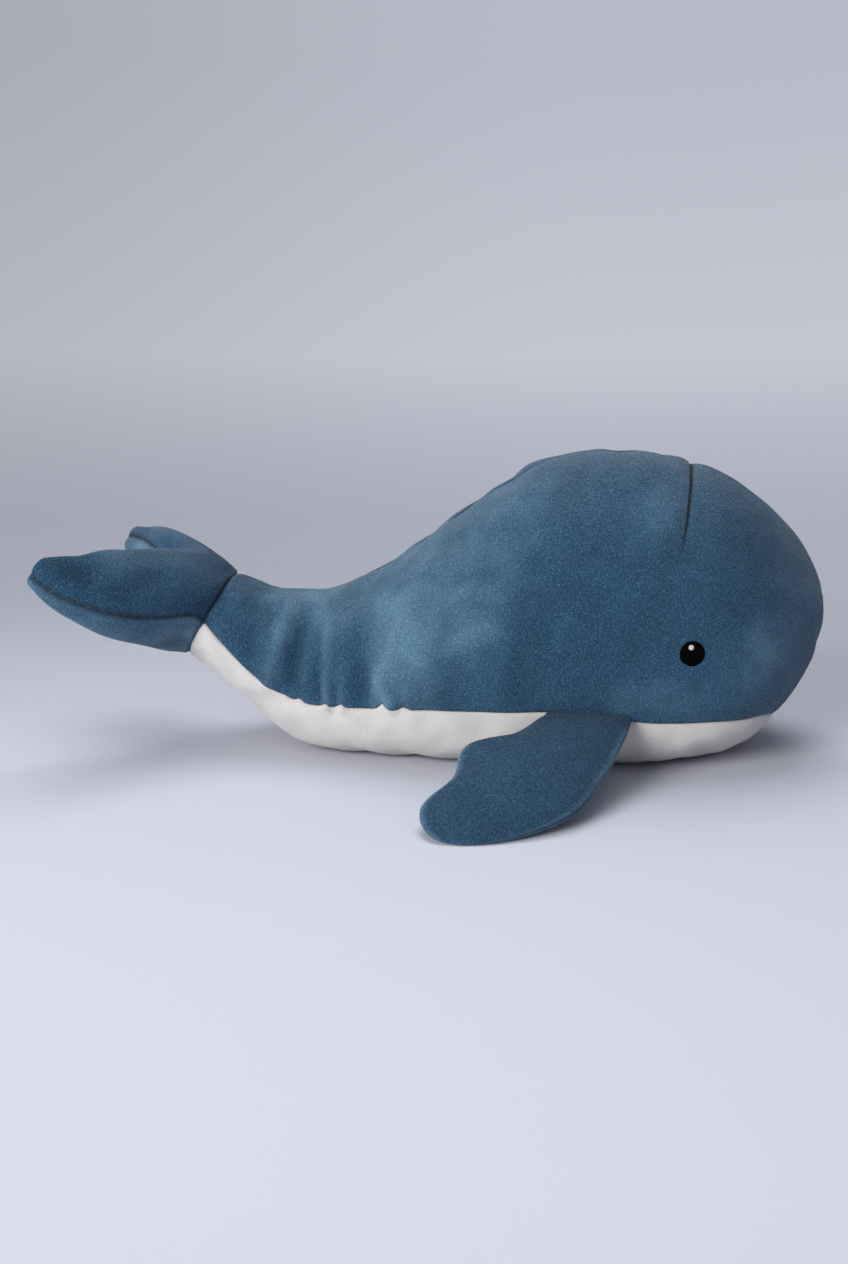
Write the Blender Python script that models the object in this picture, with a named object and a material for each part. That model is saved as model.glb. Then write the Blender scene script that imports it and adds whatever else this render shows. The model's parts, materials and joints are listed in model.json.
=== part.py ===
"""Plush whale, made the way it is sewn.

Two blue side panels and a cream belly panel hold a stuffed body. Two stuffed fins flex at
the belly seam, and a stuffed tail fluke flexes at the round seam where the tail ends.
The nose points along +X, the whale's left side is +Y, and it lies on z = 0.

Lengths are metres. A value or table whose name ends in share or shares is a fraction of
the size that it follows. Stations count along the body, 0 at the nose and the last one
at the tail seam, and may be fractions.
"""

import math

import bmesh
import bpy
import numpy as np

MM = 0.001

# Fabric, seams and clearances
FABRIC = 1.6 * MM
SEAM_GAP = 0.3 * MM
STUFFING_GAP = 0.3 * MM
FLOOR_CUT = 0.5 * MM
CREASE_DEPTH = 0.9 * MM
CREASE_WIDTH = 2.6 * MM
MERGE_DISTANCE = 0.0005 * MM
SHARP_EDGE_DEG = 42.0

# Body
BODY_LENGTH = 344.0 * MM
BODY_HEIGHT = 157.0 * MM
BODY_WIDTH = 148.0 * MM
UPPER_SQUARENESS = 2.1

# One row a station, from the nose to the tail seam: how far back and how high the back
# line lies, the same for the belly line, the half width, and how far up the section its
# widest line is. Distances are shares of the body's length and height and of half its width.
STATION_SHARES = (
    (0.007, 0.474, 0.007, 0.474, 0.000, 0.48),
    (0.019, 0.604, 0.025, 0.305, 0.300, 0.45),
    (0.049, 0.706, 0.057, 0.175, 0.540, 0.43),
    (0.098, 0.812, 0.094, 0.075, 0.735, 0.41),
    (0.160, 0.911, 0.139, 0.016, 0.882, 0.40),
    (0.233, 0.974, 0.209, 0.000, 0.968, 0.40),
    (0.320, 1.000, 0.303, 0.000, 1.000, 0.40),
    (0.417, 0.978, 0.411, 0.000, 0.985, 0.40),
    (0.516, 0.871, 0.525, 0.000, 0.930, 0.40),
    (0.610, 0.724, 0.636, 0.000, 0.845, 0.40),
    (0.698, 0.596, 0.740, 0.001, 0.730, 0.42),
    (0.775, 0.528, 0.836, 0.036, 0.600, 0.45),
    (0.849, 0.530, 0.917, 0.184, 0.485, 0.48),
    (0.921, 0.583, 0.999, 0.306, 0.395, 0.50),
)
# How square the lower half of each section is: 2 is an ellipse, more is flatter below.
LOWER_SQUARENESS = (2.1, 2.0, 1.9, 1.9, 2.4, 3.6, 4.9, 5.2, 5.1, 4.0, 3.3, 2.6, 2.3, 2.0)
# How far below the widest line the belly seam runs, in degrees round the section.
SEAM_DEG = (30.0, 30.0, 30.0, 28.5, 26.8, 24.8, 24.2, 22.3, 18.7, 12.8, 9.2, 11.5, 15.8, 0.0)

# The belly panel's front edge is round; its corner is where the seam turns to run back.
BELLY_TIP_STATION = 2.55
BELLY_CORNER_STATION = 2.88
BELLY_ROUND_STATIONS = 1.6

# Head dart
DART_TOP_STATION = 4.77
DART_LEAN_STATIONS = 0.58
DART_REACH_STATIONS = 1.6
DART_DEG = 42.0
DART_FADE_DEG = 43.0
DART_DEPTH = 1.3 * MM
DART_WIDTH = 2.0 * MM

# Rows and columns of points on the body. Side columns run from the back seam to the belly
# seam, belly columns from there to the middle line.
ROWS_BEFORE_BELLY = (0.0, 0.45, 0.9, 1.35, 1.8, 2.2, 2.55, BELLY_CORNER_STATION)
ROWS_BEFORE_TAIL = (3.1, 3.4, 3.8, 4.25, 4.67, 4.77, 4.87, 5.4, 6.1, 6.8, 7.6, 8.4, 9.2, 9.9)
TAIL_ROWS = (10.6, 11.3, 11.9, 12.4, 12.75, 13.0)
BODY_ROWS = ROWS_BEFORE_BELLY + ROWS_BEFORE_TAIL + TAIL_ROWS
SIDE_COLUMN_SHARES = (0.0, 0.025, 0.14, 0.28, 0.42, 0.56, 0.70, 0.84, 0.97, 1.0)
BELLY_COLUMN_SHARES = (0.06, 0.28, 0.52, 0.76, 1.0)
SPLIT_STATIONS = 0.012

# Tail seam and the fluke's neck, a ball that turns in the end of the tail
NECK_PLAY = 1.0 * MM
HOLLOW_PLAY = 0.9 * MM
FLUKE_SWING_DEG = 15.0
NECK_MARGIN_DEG = 4.0
TAIL_RIM_STATION = 12.75
NECK_CAP_DEG = (0.0, 20.0, 42.0)
HOLLOW_ROW_SHARES = (0.0, 0.3, 0.62, 1.0)

# Fluke, in the tail seam's own frame: along the tail, out to the side and up
FLUKE_TIP = (88.0 * MM, 79.0 * MM, -13.5 * MM)
FLUKE_NOTCH = (33.5 * MM, 0.0, 9.3 * MM)
FLUKE_BACK_EDGE = (61.0 * MM, 48.7 * MM, 8.8 * MM)
FLUKE_FRONT_EDGE = (32.3 * MM, 61.9 * MM, -22.7 * MM)
FLUKE_MIDDLE = (19.0 * MM, 0.0, -0.5 * MM)
FLUKE_FLARE = 4.4 * MM
FLUKE_FLARE_SHARE = 0.16
FLUKE_CORNER_SHARE = 0.07
FLUKE_CORNER_POWER = 4
FLUKE_TAPER_POWER = 3.3
FLUKE_EDGE_POWER = 0.78
FLUKE_ROW_SHARES = (0.05, 0.13, 0.25, 0.39, 0.54, 0.69, 0.82, 0.91, 0.97, 1.0)
FLUKE_COLUMNS = 14
LOBE_START_SHARE = 0.25
LOBE_CLEARANCE_SHARE = 0.018
LOBE_MIDDLE_SHARE = 0.16
STUFFING_EXTRA = 0.4 * MM

# Fins
FIN_LENGTH = 92.0 * MM
FIN_ROOT_CHORD = 45.0 * MM
FIN_REAR_ROOT_SHARE = 0.461
FIN_THICKNESS = 14.0 * MM
FIN_ROOT_RADIUS = 1.8 * MM
FIN_PLAY = 0.1 * MM
FIN_FLOOR_GAP = 0.2 * MM
FIN_SEAT_DEG = 12.0
FIN_STEEPEST_DEG = 60.0
FIN_SWELL_POWER = 0.8
FIN_TIP_POWER = 8
FIN_STUFFING_START_SHARE = 0.10
FIN_COLUMNS = 6
# One row a station, from the root to the tip: how far out, and where the rear and the
# front edge lie, counted forward from the rear end of the root. All are shares of the
# fin's length.
FIN_OUTLINE_SHARES = (
    (0.000, 0.000, 0.470),
    (0.094, -0.089, 0.438),
    (0.177, -0.188, 0.407),
    (0.224, -0.313, 0.388),
    (0.292, -0.397, 0.361),
    (0.418, -0.433, 0.308),
    (0.543, -0.449, 0.243),
    (0.647, -0.517, 0.192),
    (0.762, -0.590, 0.109),
    (0.866, -0.588, -0.026),
    (0.945, -0.548, -0.172),
    (0.987, -0.485, -0.292),
    (1.000, -0.386, -0.386),
)
FIN_ROWS = (0.0, 0.7, 1.5, 2.3, 3.0, 4.0, 5.0, 6.0, 7.0, 8.0, 9.0, 10.0, 11.0, 11.7, 12.0)
FIN_ROOT_ROLL_DEG = (90.0, 45.0)

# Eyes
EYE_DIAMETER = 12.0 * MM
EYE_ALONG_SHARE = 0.257
EYE_HEIGHT_SHARE = 0.394
EYE_EDGE = 0.5 * MM
EYE_DOME = 0.7 * MM
EYE_SEAT_GAP = 0.3 * MM
EYE_SEGMENTS = 14
EYE_RING_SHARES = (0.55, 1.0)
EYE_SEARCH_START = (5.0, 0.0)
GLINT_DIAMETER = 2.2 * MM
GLINT_BACK = 1.0 * MM
GLINT_UP = 3.3 * MM
GLINT_EDGE = 0.25 * MM
GLINT_DOME = 0.15 * MM
GLINT_SEGMENTS = 10
GLINT_RING_SHARES = (1.0,)

# Colours, as the photograph shows them, and how rough each material is
BLUE_PLUSH = (58, 92, 122)
CREAM_PLUSH = (222, 219, 214)
BLACK_THREAD = (16, 16, 19)
WHITE_THREAD = (232, 232, 234)
FIBREFILL = (240, 240, 238)
PLUSH_ROUGHNESS = 0.95
THREAD_ROUGHNESS = 0.45
FIBREFILL_ROUGHNESS = 0.9

# How finely slopes and searches are worked out
STEP = 1e-4
TINY = 1e-9
SEARCH_STEPS = 40
SEAM_SAMPLES = 240
SEAT_SAMPLES = 49

LAST_STATION = len(STATION_SHARES) - 1
BELLY_ROW = BODY_ROWS.index(BELLY_CORNER_STATION)
TAIL_ROW = len(ROWS_BEFORE_BELLY) + len(ROWS_BEFORE_TAIL) - 1
SEAM_COLUMN = len(SIDE_COLUMN_SHARES) - 1
MIDDLE_COLUMN = SEAM_COLUMN + len(BELLY_COLUMN_SHARES)


# Curves

def spline(values):
    """A smooth curve that takes the given values at 0, 1, 2 and so on."""
    points = np.asarray(values, float)
    count = len(points)
    matrix = 4.0 * np.eye(count) + np.eye(count, k=1) + np.eye(count, k=-1)
    matrix[0] = np.eye(count)[0]
    matrix[-1] = np.eye(count)[-1]
    bend = np.zeros(count)
    bend[1:-1] = 6.0 * (points[2:] - 2.0 * points[1:-1] + points[:-2])
    second = np.linalg.solve(matrix, bend)

    def at(place):
        place = np.clip(np.asarray(place, float), 0.0, count - 1.0)
        index = np.minimum(place.astype(int), count - 2)
        after = place - index
        before = 1.0 - after
        straight = before * points[index] + after * points[index + 1]
        curved = (before**3 - before) * second[index] + (after**3 - after) * second[index + 1]
        return straight + curved / 6.0

    return at


def outline_spline(belly, back):
    """A curve along the belly line to the nose and on over the back, nose at LAST_STATION."""
    return spline(list(belly[:0:-1]) + list(back))


def column(index):
    return [row[index] for row in STATION_SHARES]


ALONG = outline_spline(column(2), column(0))
HEIGHT = outline_spline(column(3), column(1))
HALF_WIDTH = outline_spline([-width for width in column(4)], column(4))
WIDEST = spline(column(5))
SQUARENESS = spline(LOWER_SQUARENESS)
SEAM_ANGLE = spline(SEAM_DEG)


def profile(place):
    """Points of the outline in the mirror plane; place counts stations past the belly's end."""
    span = BODY_HEIGHT + FLOOR_CUT
    along = -BODY_LENGTH * ALONG(place)
    return np.stack([along, np.zeros_like(along), span * HEIGHT(place) - FLOOR_CUT], -1)


def length(vectors):
    return np.sqrt((vectors**2).sum(-1, keepdims=True))


def unit(vectors):
    return vectors / np.maximum(length(vectors), TINY * TINY)


def seam_angle(station):
    """Angle of the belly seam below the widest line; it rounds in to the belly's front edge."""
    share = np.clip((station - BELLY_TIP_STATION) / BELLY_ROUND_STATIONS, 0.0, 1.0)
    opened = np.sqrt(1.0 - (1.0 - share) ** 2)
    return -90.0 + (90.0 - SEAM_ANGLE(station)) * opened


def front_station(angle):
    """Station of the belly's round front edge at each angle, up to the seam's corner."""
    opened = np.clip((angle + 90.0) / (90.0 - SEAM_ANGLE(BELLY_CORNER_STATION)), 0.0, 1.0)
    edge = BELLY_TIP_STATION + BELLY_ROUND_STATIONS * (1.0 - np.sqrt(1.0 - opened**2))
    return np.minimum(edge, BELLY_CORNER_STATION)


# The sewn body

def section_radius(station, angle):
    """Distance from a section's middle to its edge, at an angle above the widest line."""
    back = profile(LAST_STATION + station)
    belly = profile(LAST_STATION - station)
    span = length(back - belly)[..., 0]
    widest = WIDEST(station)
    half_width = 0.5 * BODY_WIDTH * HALF_WIDTH(LAST_STATION + station)
    over = angle > 0.0
    half_height = span * np.where(over, 1.0 - widest, widest)
    power = np.where(over, UPPER_SQUARENESS, SQUARENESS(station))
    across = np.abs(np.cos(np.radians(angle))) / np.maximum(half_width, TINY)
    upright = np.abs(np.sin(np.radians(angle))) / np.maximum(half_height, TINY)
    return (across**power + upright**power) ** (-1.0 / power)


def smooth_body(station, angle, side):
    """The body's surface without its creases. side is -1 on the right and +1 on the left."""
    station, angle = np.broadcast_arrays(np.asarray(station, float), np.asarray(angle, float))
    back = profile(LAST_STATION + station)
    belly = profile(LAST_STATION - station)
    up = unit(back - belly + np.array([0.0, 0.0, TINY]))
    middle = belly + (back - belly) * WIDEST(station)[..., None]
    radius = section_radius(station, angle)
    points = middle + up * (radius * np.sin(np.radians(angle)))[..., None]
    points[..., 1] = side * radius * np.cos(np.radians(angle))
    return points


def nose_normal():
    """Unit vector square to the outline at the nose."""
    run = profile(LAST_STATION + STEP) - profile(LAST_STATION - STEP)
    return unit(np.array([run[2], 0.0, -run[0]]))


def body_normal(station, angle, side):
    """Unit vectors square to the body, pointing out."""
    station, angle = np.broadcast_arrays(np.asarray(station, float), np.asarray(angle, float))
    at_nose = station < STEP
    station = np.clip(station, 2.0 * STEP, LAST_STATION - STEP)
    along = smooth_body(station + STEP, angle, side) - smooth_body(station - STEP, angle, side)
    around = smooth_body(station, angle + STEP, side) - smooth_body(station, angle - STEP, side)
    normal = unit(side * np.cross(along, around))
    return np.where(at_nose[..., None], nose_normal(), normal)


def dart_line(angle):
    """Station of the head dart at each angle, from the back seam down and a little tailward."""
    return DART_TOP_STATION + DART_LEAN_STATIONS * (90.0 - angle) / DART_DEG


def pull(distance, depth, width):
    """How deep a seam pulls the fabric in at a distance from it."""
    return depth * np.exp(-((distance / width) ** 2))


def crease(station, angle):
    """How deep the seams and the head dart pull the fabric in."""
    radius = section_radius(station, angle)
    front = front_station(angle)
    ahead = station < front
    to_middle = radius * np.abs(np.cos(np.radians(angle)))
    depth = pull(to_middle, CREASE_DEPTH, CREASE_WIDTH) * ((angle > 0.0) | ahead)

    to_seam = radius * np.radians(np.abs(angle - seam_angle(station)))
    depth = depth + pull(to_seam, CREASE_DEPTH, CREASE_WIDTH) * (station >= BELLY_CORNER_STATION)
    below = profile(LAST_STATION - station + 0.5) - profile(LAST_STATION - station - 0.5)
    to_front = np.abs(station - front) * length(below)[..., 0]
    across_front = (station < BELLY_CORNER_STATION) & (angle < seam_angle(BELLY_CORNER_STATION))
    depth = depth + pull(to_front, CREASE_DEPTH, CREASE_WIDTH) * across_front

    to_dart = (station - dart_line(angle)) * BODY_LENGTH / LAST_STATION
    fade = np.clip((angle - 90.0 + DART_DEG) / DART_DEG, 0.0, 1.0)
    return depth + fade * pull(to_dart, DART_DEPTH, DART_WIDTH)


def body_points(station, angle, side, inset=0.0):
    """The sewn surface, flat where it rests on the floor, drawn in by inset."""
    normal = body_normal(station, angle, side)
    points = smooth_body(station, angle, side) - normal * crease(station, angle)[..., None]
    points[..., 2] = np.maximum(points[..., 2], 0.0)
    return points - normal * inset


def rows_beside_dart(row, angle):
    """Moves the rows near the dart so that one of them runs along it."""
    near = np.clip(1.0 - np.abs(row - DART_TOP_STATION) / DART_REACH_STATIONS, 0.0, 1.0)
    down = (90.0 - angle) / DART_DEG
    back_up = (DART_DEG + DART_FADE_DEG - (90.0 - angle)) / DART_FADE_DEG
    lean = np.clip(np.minimum(down, back_up), 0.0, 1.0)
    return row + DART_LEAN_STATIONS * lean * 0.5 * (1.0 - np.cos(np.pi * near))


def body_grid(rows=BODY_ROWS):
    """Stations and angles of the points of half the body, from the back seam to the middle
    line below in each row. One row runs along the belly's round front edge."""
    rows = np.array(rows)[:, None]
    seam = seam_angle(np.maximum(rows, BELLY_CORNER_STATION))
    side_angles = 90.0 - np.array(SIDE_COLUMN_SHARES)[None, :] * (90.0 - seam)
    belly_angles = seam - np.array(BELLY_COLUMN_SHARES)[None, :] * (90.0 + seam)
    angles = np.concatenate([side_angles, belly_angles], axis=1)
    before_belly = rows * front_station(angles) / BELLY_CORNER_STATION
    stations = np.where(rows > BELLY_CORNER_STATION, rows, before_belly)
    return rows_beside_dart(stations, angles), angles


def seam_path():
    """Rows and columns of the belly seam's points, from the front edge's middle to the tail."""
    rows_behind = len(BODY_ROWS) - BELLY_ROW
    front = range(MIDDLE_COLUMN, SEAM_COLUMN, -1)
    rows = [BELLY_ROW] * len(front) + list(range(BELLY_ROW, len(BODY_ROWS)))
    return np.array(rows), np.array(list(front) + [SEAM_COLUMN] * rows_behind)


def seam_offsets(side):
    """Half the seam gap at each point of the seam path, square to it, towards the side panel."""
    stations, angles = body_grid()
    path = seam_path()
    seam = body_points(stations[path], angles[path], side)
    normal = body_normal(stations[path], angles[path], side)
    run = np.gradient(seam, axis=0)
    run[0] = (0.0, side, 0.0)
    return unit(np.cross(normal, run) * side) * 0.5 * SEAM_GAP


# Meshes and objects

def linear(colour):
    """A photograph's colour, 0 to 255, as Blender's linear values."""
    shares = [channel / 255.0 for channel in colour]
    return [s / 12.92 if s < 0.04045 else ((s + 0.055) / 1.055) ** 2.4 for s in shares]


def make_material(name, colour, roughness):
    material = bpy.data.materials.new(name)
    material.use_nodes = True
    shader = material.node_tree.nodes["Principled BSDF"]
    shader.inputs["Base Color"].default_value = (*linear(colour), 1.0)
    shader.inputs["Roughness"].default_value = roughness
    shader.inputs["Metallic"].default_value = 0.0
    return material


def finish_object(name, bm, material, frame):
    """Closes up a mesh, turns its faces out and hangs it on its frame."""
    bmesh.ops.remove_doubles(bm, verts=bm.verts, dist=MERGE_DISTANCE)
    bmesh.ops.recalc_face_normals(bm, faces=bm.faces)
    if bm.calc_volume(signed=True) < 0.0:
        bmesh.ops.reverse_faces(bm, faces=bm.faces)
    bmesh.ops.translate(bm, verts=bm.verts, vec=-frame.location)
    mesh = bpy.data.meshes.new(name)
    bm.to_mesh(mesh)
    bm.free()
    mesh.shade_smooth()
    mesh.set_sharp_from_angle(angle=math.radians(SHARP_EDGE_DEG))
    mesh.materials.append(material)
    part = bpy.data.objects.new(name, mesh)
    bpy.context.scene.collection.objects.link(part)
    part.parent = frame
    return part


def add_quad(bm, a, b, c, d):
    """Two triangles, so that neighbours share the same diagonals."""
    for corners in ((a, b, c), (a, c, d)):
        if len(set(corners)) == 3:
            bm.faces.new(corners)


def add_sheet(bm, rows, cells=None):
    """Fills a grid of vertices; cells says which of its cells are there, or all of them."""
    for i in range(len(rows) - 1):
        for j in range(len(rows[i]) - 1):
            if cells is None or cells[i][j]:
                add_quad(bm, rows[i][j], rows[i + 1][j], rows[i + 1][j + 1], rows[i][j + 1])


def make_verts(bm, grid):
    """Vertices for a grid of points; points that fall together share one vertex."""
    known = {}
    rows = []
    for line in grid:
        row = []
        for point in line:
            key = tuple(np.round(point / MERGE_DISTANCE).astype(int))
            if key not in known:
                known[key] = bm.verts.new(point)
            row.append(known[key])
        rows.append(row)
    return rows


def panel(name, outer, inner, material, frame, cells=None):
    """A piece of fabric: an outer and an inner grid, joined all round their edges."""
    bm = bmesh.new()
    outside = make_verts(bm, outer)
    inside = make_verts(bm, inner)
    under = {}
    for above_row, below_row in zip(outside, inside):
        under.update(zip(above_row, below_row))
    add_sheet(bm, outside, cells)
    rim = [tuple(edge.verts) for edge in bm.edges if len(edge.link_faces) == 1]
    add_sheet(bm, inside, cells)
    for start, end in rim:
        add_quad(bm, start, end, under[end], under[start])
    unused = [vert for vert in bm.verts if not vert.link_faces]
    bmesh.ops.delete(bm, geom=unused, context="VERTS")
    return finish_object(name, bm, material, frame)


def filling(name, rings, material, frame, hub_caps=False):
    """A closed body through rings of points. Each end is closed by strips across the ring,
    or by triangles that meet at a hub in its middle."""
    bm = bmesh.new()
    rows = make_verts(bm, rings)
    add_sheet(bm, [row + row[:1] for row in rows])
    for ring in (rows[0], rows[-1]):
        half = len(ring) // 2
        if len(set(ring)) == 1:
            continue
        if hub_caps:
            hub = bm.verts.new(np.mean([vert.co for vert in ring], axis=0))
            add_sheet(bm, [ring + ring[:1], [hub] * (len(ring) + 1)])
        else:
            add_sheet(bm, [ring[:half], ring[:half - 1:-1]])
    return finish_object(name, bm, material, frame)


def make_frame(name, place, parent=None):
    """An empty that pieces hang on; a hinge's empty lies on its axis."""
    empty = bpy.data.objects.new(name, None)
    bpy.context.scene.collection.objects.link(empty)
    empty.location = place
    if parent is not None:
        empty.parent = parent
    return empty


# Body pieces

def make_side_panel(name, side, material, frame):
    """Half the body's upper fabric. Ahead of the belly it also covers the chin."""
    stations, angles = body_grid()
    outer = body_points(stations, angles, side)
    outer[seam_path()] += seam_offsets(side)
    clear_of_middle = 0.5 * SEAM_GAP
    outer[..., 1] = side * np.maximum(side * outer[..., 1], clear_of_middle)
    inner = outer - body_normal(stations, angles, side) * FABRIC
    inner[..., 1] = side * np.maximum(side * inner[..., 1], clear_of_middle)
    cells = np.ones((len(BODY_ROWS) - 1, MIDDLE_COLUMN), bool)
    cells[BELLY_ROW:, SEAM_COLUMN:] = False
    order = slice(None, None, int(-side))
    return panel(name, outer[:, order], inner[:, order], material, frame, cells[:, order])


def belly_half(side, inset):
    """Points of half the belly panel, from the seam to the middle line in each row."""
    stations, angles = body_grid()
    points = body_points(stations, angles, side, inset)
    points[seam_path()] -= seam_offsets(side)
    return points[BELLY_ROW:, SEAM_COLUMN:]


def make_belly_panel(name, material, frame):
    grids = []
    for inset in (0.0, FABRIC):
        left = belly_half(1.0, inset)[:, -2::-1]
        grids.append(np.concatenate([belly_half(-1.0, inset), left], axis=1))
    return panel(name, grids[0], grids[1], material, frame)


def stuffing_rings(rows, inset):
    """Points all round the body at each row: down the right side and up the left."""
    stations, angles = body_grid(rows)
    right = body_points(stations, angles, -1.0, inset)
    left = body_points(stations, angles, 1.0, inset)[:, -2:0:-1]
    return list(np.concatenate([right, left], axis=1))


def tail_frame():
    """Middle of the tail seam, the tail's direction there, the seam's up and half height."""
    back = profile(np.array(2.0 * LAST_STATION))
    belly = profile(np.array(0.0))
    up = unit(back - belly)
    return 0.5 * (back + belly), np.array([-up[2], 0.0, up[0]]), up, 0.5 * length(back - belly)[0]


def neck_size():
    """Half height and half width of the fluke's neck where it sits in the tail seam."""
    half_height = tail_frame()[3] - FABRIC - NECK_PLAY
    half_width = 0.5 * BODY_WIDTH * STATION_SHARES[-1][4] - FABRIC - NECK_PLAY
    return half_height, half_width


def hollow_rings(rim):
    """Rings of the round hollow in the tail's stuffing, from its rim to its deepest point."""
    middle, along, up, _ = tail_frame()
    half_height, half_width = neck_size()
    high_radius = half_height + HOLLOW_PLAY
    wide_radius = half_width + HOLLOW_PLAY
    direction = rim - middle
    turn = np.arctan2(direction @ up / high_radius, direction[:, 1] / wide_radius)
    depth = np.clip(-(direction @ along) / half_height, 0.0, 1.0)
    start = np.min(np.arcsin(depth))
    rings = []
    for share in HOLLOW_ROW_SHARES:
        dip = start + share * (0.5 * math.pi - start)
        ring = middle - along * high_radius * math.sin(dip)
        ring = ring + np.outer(np.sin(turn) * math.cos(dip) * high_radius, up)
        ring[:, 1] += np.cos(turn) * math.cos(dip) * wide_radius
        rings.append(ring)
    return rings


def make_body_stuffing(material, frame):
    """The torso's filling, and the tail's behind it, hollow at the back for the fluke's neck."""
    inset = FABRIC + STUFFING_GAP
    torso = stuffing_rings(BODY_ROWS[: TAIL_ROW + 1], inset)
    filling("torso_stuffing", torso, material, frame, hub_caps=True)
    rows = [BODY_ROWS[TAIL_ROW] + SPLIT_STATIONS]
    rows += [row for row in TAIL_ROWS if row < TAIL_RIM_STATION] + [TAIL_RIM_STATION]
    tail = stuffing_rings(rows, inset)
    tail += hollow_rings(tail[-1])
    filling("tail_stuffing", tail, material, frame, hub_caps=True)


# Eyes

def find_on_body(along_share, height_share):
    """Station and angle of the body point that lies at a place in the side view."""
    goal = np.array([-along_share * BODY_LENGTH, height_share * BODY_HEIGHT])
    place = np.array(EYE_SEARCH_START)
    for _ in range(SEARCH_STEPS):
        here = smooth_body(place[0], place[1], -1.0)[[0, 2]]
        by_station = smooth_body(place[0] + STEP, place[1], -1.0)[[0, 2]] - here
        by_angle = smooth_body(place[0], place[1] + STEP, -1.0)[[0, 2]] - here
        slopes = np.stack([by_station, by_angle], -1) / STEP
        place = place + np.linalg.solve(slopes, goal - here)
    return place


def disc_on_body(place, side, shift, radius, segments, ring_shares, base, top):
    """A low domed disc that follows the body: rings from its middle out, then back below."""
    at = smooth_body(place[0], place[1], side)
    by_station = (smooth_body(place[0] + STEP, place[1], side) - at) / STEP
    by_angle = (smooth_body(place[0], place[1] + STEP, side) - at) / STEP
    normal = body_normal(place[0], place[1], side)
    forward = unit(np.array([1.0, 0.0, 0.0]) - normal * normal[0])
    up = unit(np.cross(forward, normal) * side)
    up = up if up[2] > 0.0 else -up
    turns = np.arange(segments) * 2.0 * math.pi / segments

    def ring(share, height):
        ahead = shift[0] + radius * share * np.cos(turns)
        above = shift[1] + radius * share * np.sin(turns)
        wanted = np.outer(ahead, forward) + np.outer(above, up)
        moves = np.linalg.lstsq(np.stack([by_station, by_angle], -1), wanted.T, rcond=None)[0]
        stations = place[0] + moves[0]
        angles = place[1] + moves[1]
        outward = body_normal(stations, angles, side)
        return smooth_body(stations, angles, side) + outward * height(share)

    upper = [ring(share, top) for share in ring_shares]
    lower = [ring(share, base) for share in ring_shares[::-1]]
    return [ring(0.0, top)] + upper + lower + [ring(0.0, base)]


def make_eye(label, side, materials, frame):
    place = find_on_body(EYE_ALONG_SHARE, EYE_HEIGHT_SHARE)
    eye_radius = 0.5 * EYE_DIAMETER
    glint_radius = 0.5 * GLINT_DIAMETER

    def eye_base(share):
        return EYE_SEAT_GAP

    def eye_top(share):
        return EYE_SEAT_GAP + EYE_EDGE + EYE_DOME * (1.0 - share**2)

    nearest = math.hypot(GLINT_BACK, GLINT_UP - glint_radius)
    glint_seat = eye_top(nearest / eye_radius) + SEAM_GAP

    def glint_base(share):
        return glint_seat

    def glint_top(share):
        return glint_seat + GLINT_EDGE + GLINT_DOME * (1.0 - share**2)

    eye = disc_on_body(place, side, (0.0, 0.0), eye_radius, EYE_SEGMENTS, EYE_RING_SHARES,
                       eye_base, eye_top)
    filling(f"eye_{label}", eye, materials["black_thread"], frame)
    glint = disc_on_body(place, side, (-GLINT_BACK, GLINT_UP), glint_radius, GLINT_SEGMENTS,
                         GLINT_RING_SHARES, glint_base, glint_top)
    filling(f"eye_glint_{label}", glint, materials["white_thread"], frame)


# Stuffed limbs: a middle sheet with a thickness, for the fluke and the fins

def across_shares(columns):
    """Places across a limb from edge to edge, closer near the edges, and the fullness there."""
    turns = np.linspace(-0.5 * math.pi, 0.5 * math.pi, columns + 1)
    return np.sin(turns), np.maximum(np.cos(turns), 0.0)


def bezier(start, control, end, share):
    """Points on a curve from start to end, pulled towards control."""
    share = np.asarray(share)[..., None]
    return (1.0 - share) ** 2 * start + 2.0 * share * (1.0 - share) * control + share**2 * end


def limb_side(rows, facing, up):
    """The outer or inner surface of one panel of a limb, facing up or down."""
    sheet, half = rows
    return sheet + (facing * (half + 0.5 * SEAM_GAP))[..., None] * up


def limb_ring(upper, lower):
    """One ring round a limb, out along its upper side and back along its lower side."""
    return np.concatenate([upper, lower[::-1]])


def neck_swing():
    """How far the fluke's round neck reaches past the seam, as an angle of its ball."""
    return math.radians(FLUKE_SWING_DEG + NECK_MARGIN_DEG)


def fluke_sheet(share, time):
    """The fluke's middle sheet: share runs across it, time from its neck to its back edge."""
    corner = FLUKE_CORNER_SHARE
    far = np.abs(share)
    share = share * (1.0 - corner * time**FLUKE_CORNER_POWER)
    time = time * (1.0 - corner * far**FLUKE_CORNER_POWER)
    far = np.abs(share)
    half_height, half_width = neck_size()
    start = np.zeros(np.shape(share) + (3,))
    start[..., 0] = half_height * math.sin(neck_swing())
    start[..., 1] = share * half_width * math.cos(neck_swing())
    middle = np.array(FLUKE_MIDDLE)
    edge = np.array(FLUKE_FRONT_EDGE)
    control = middle + (edge - middle) * (far**2)[..., None]
    control[..., 1] = share * edge[1]
    end = bezier(np.array(FLUKE_NOTCH), np.array(FLUKE_BACK_EDGE), np.array(FLUKE_TIP), far)
    end[..., 1] *= np.sign(share)
    return bezier(start, control, end, time)


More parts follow.
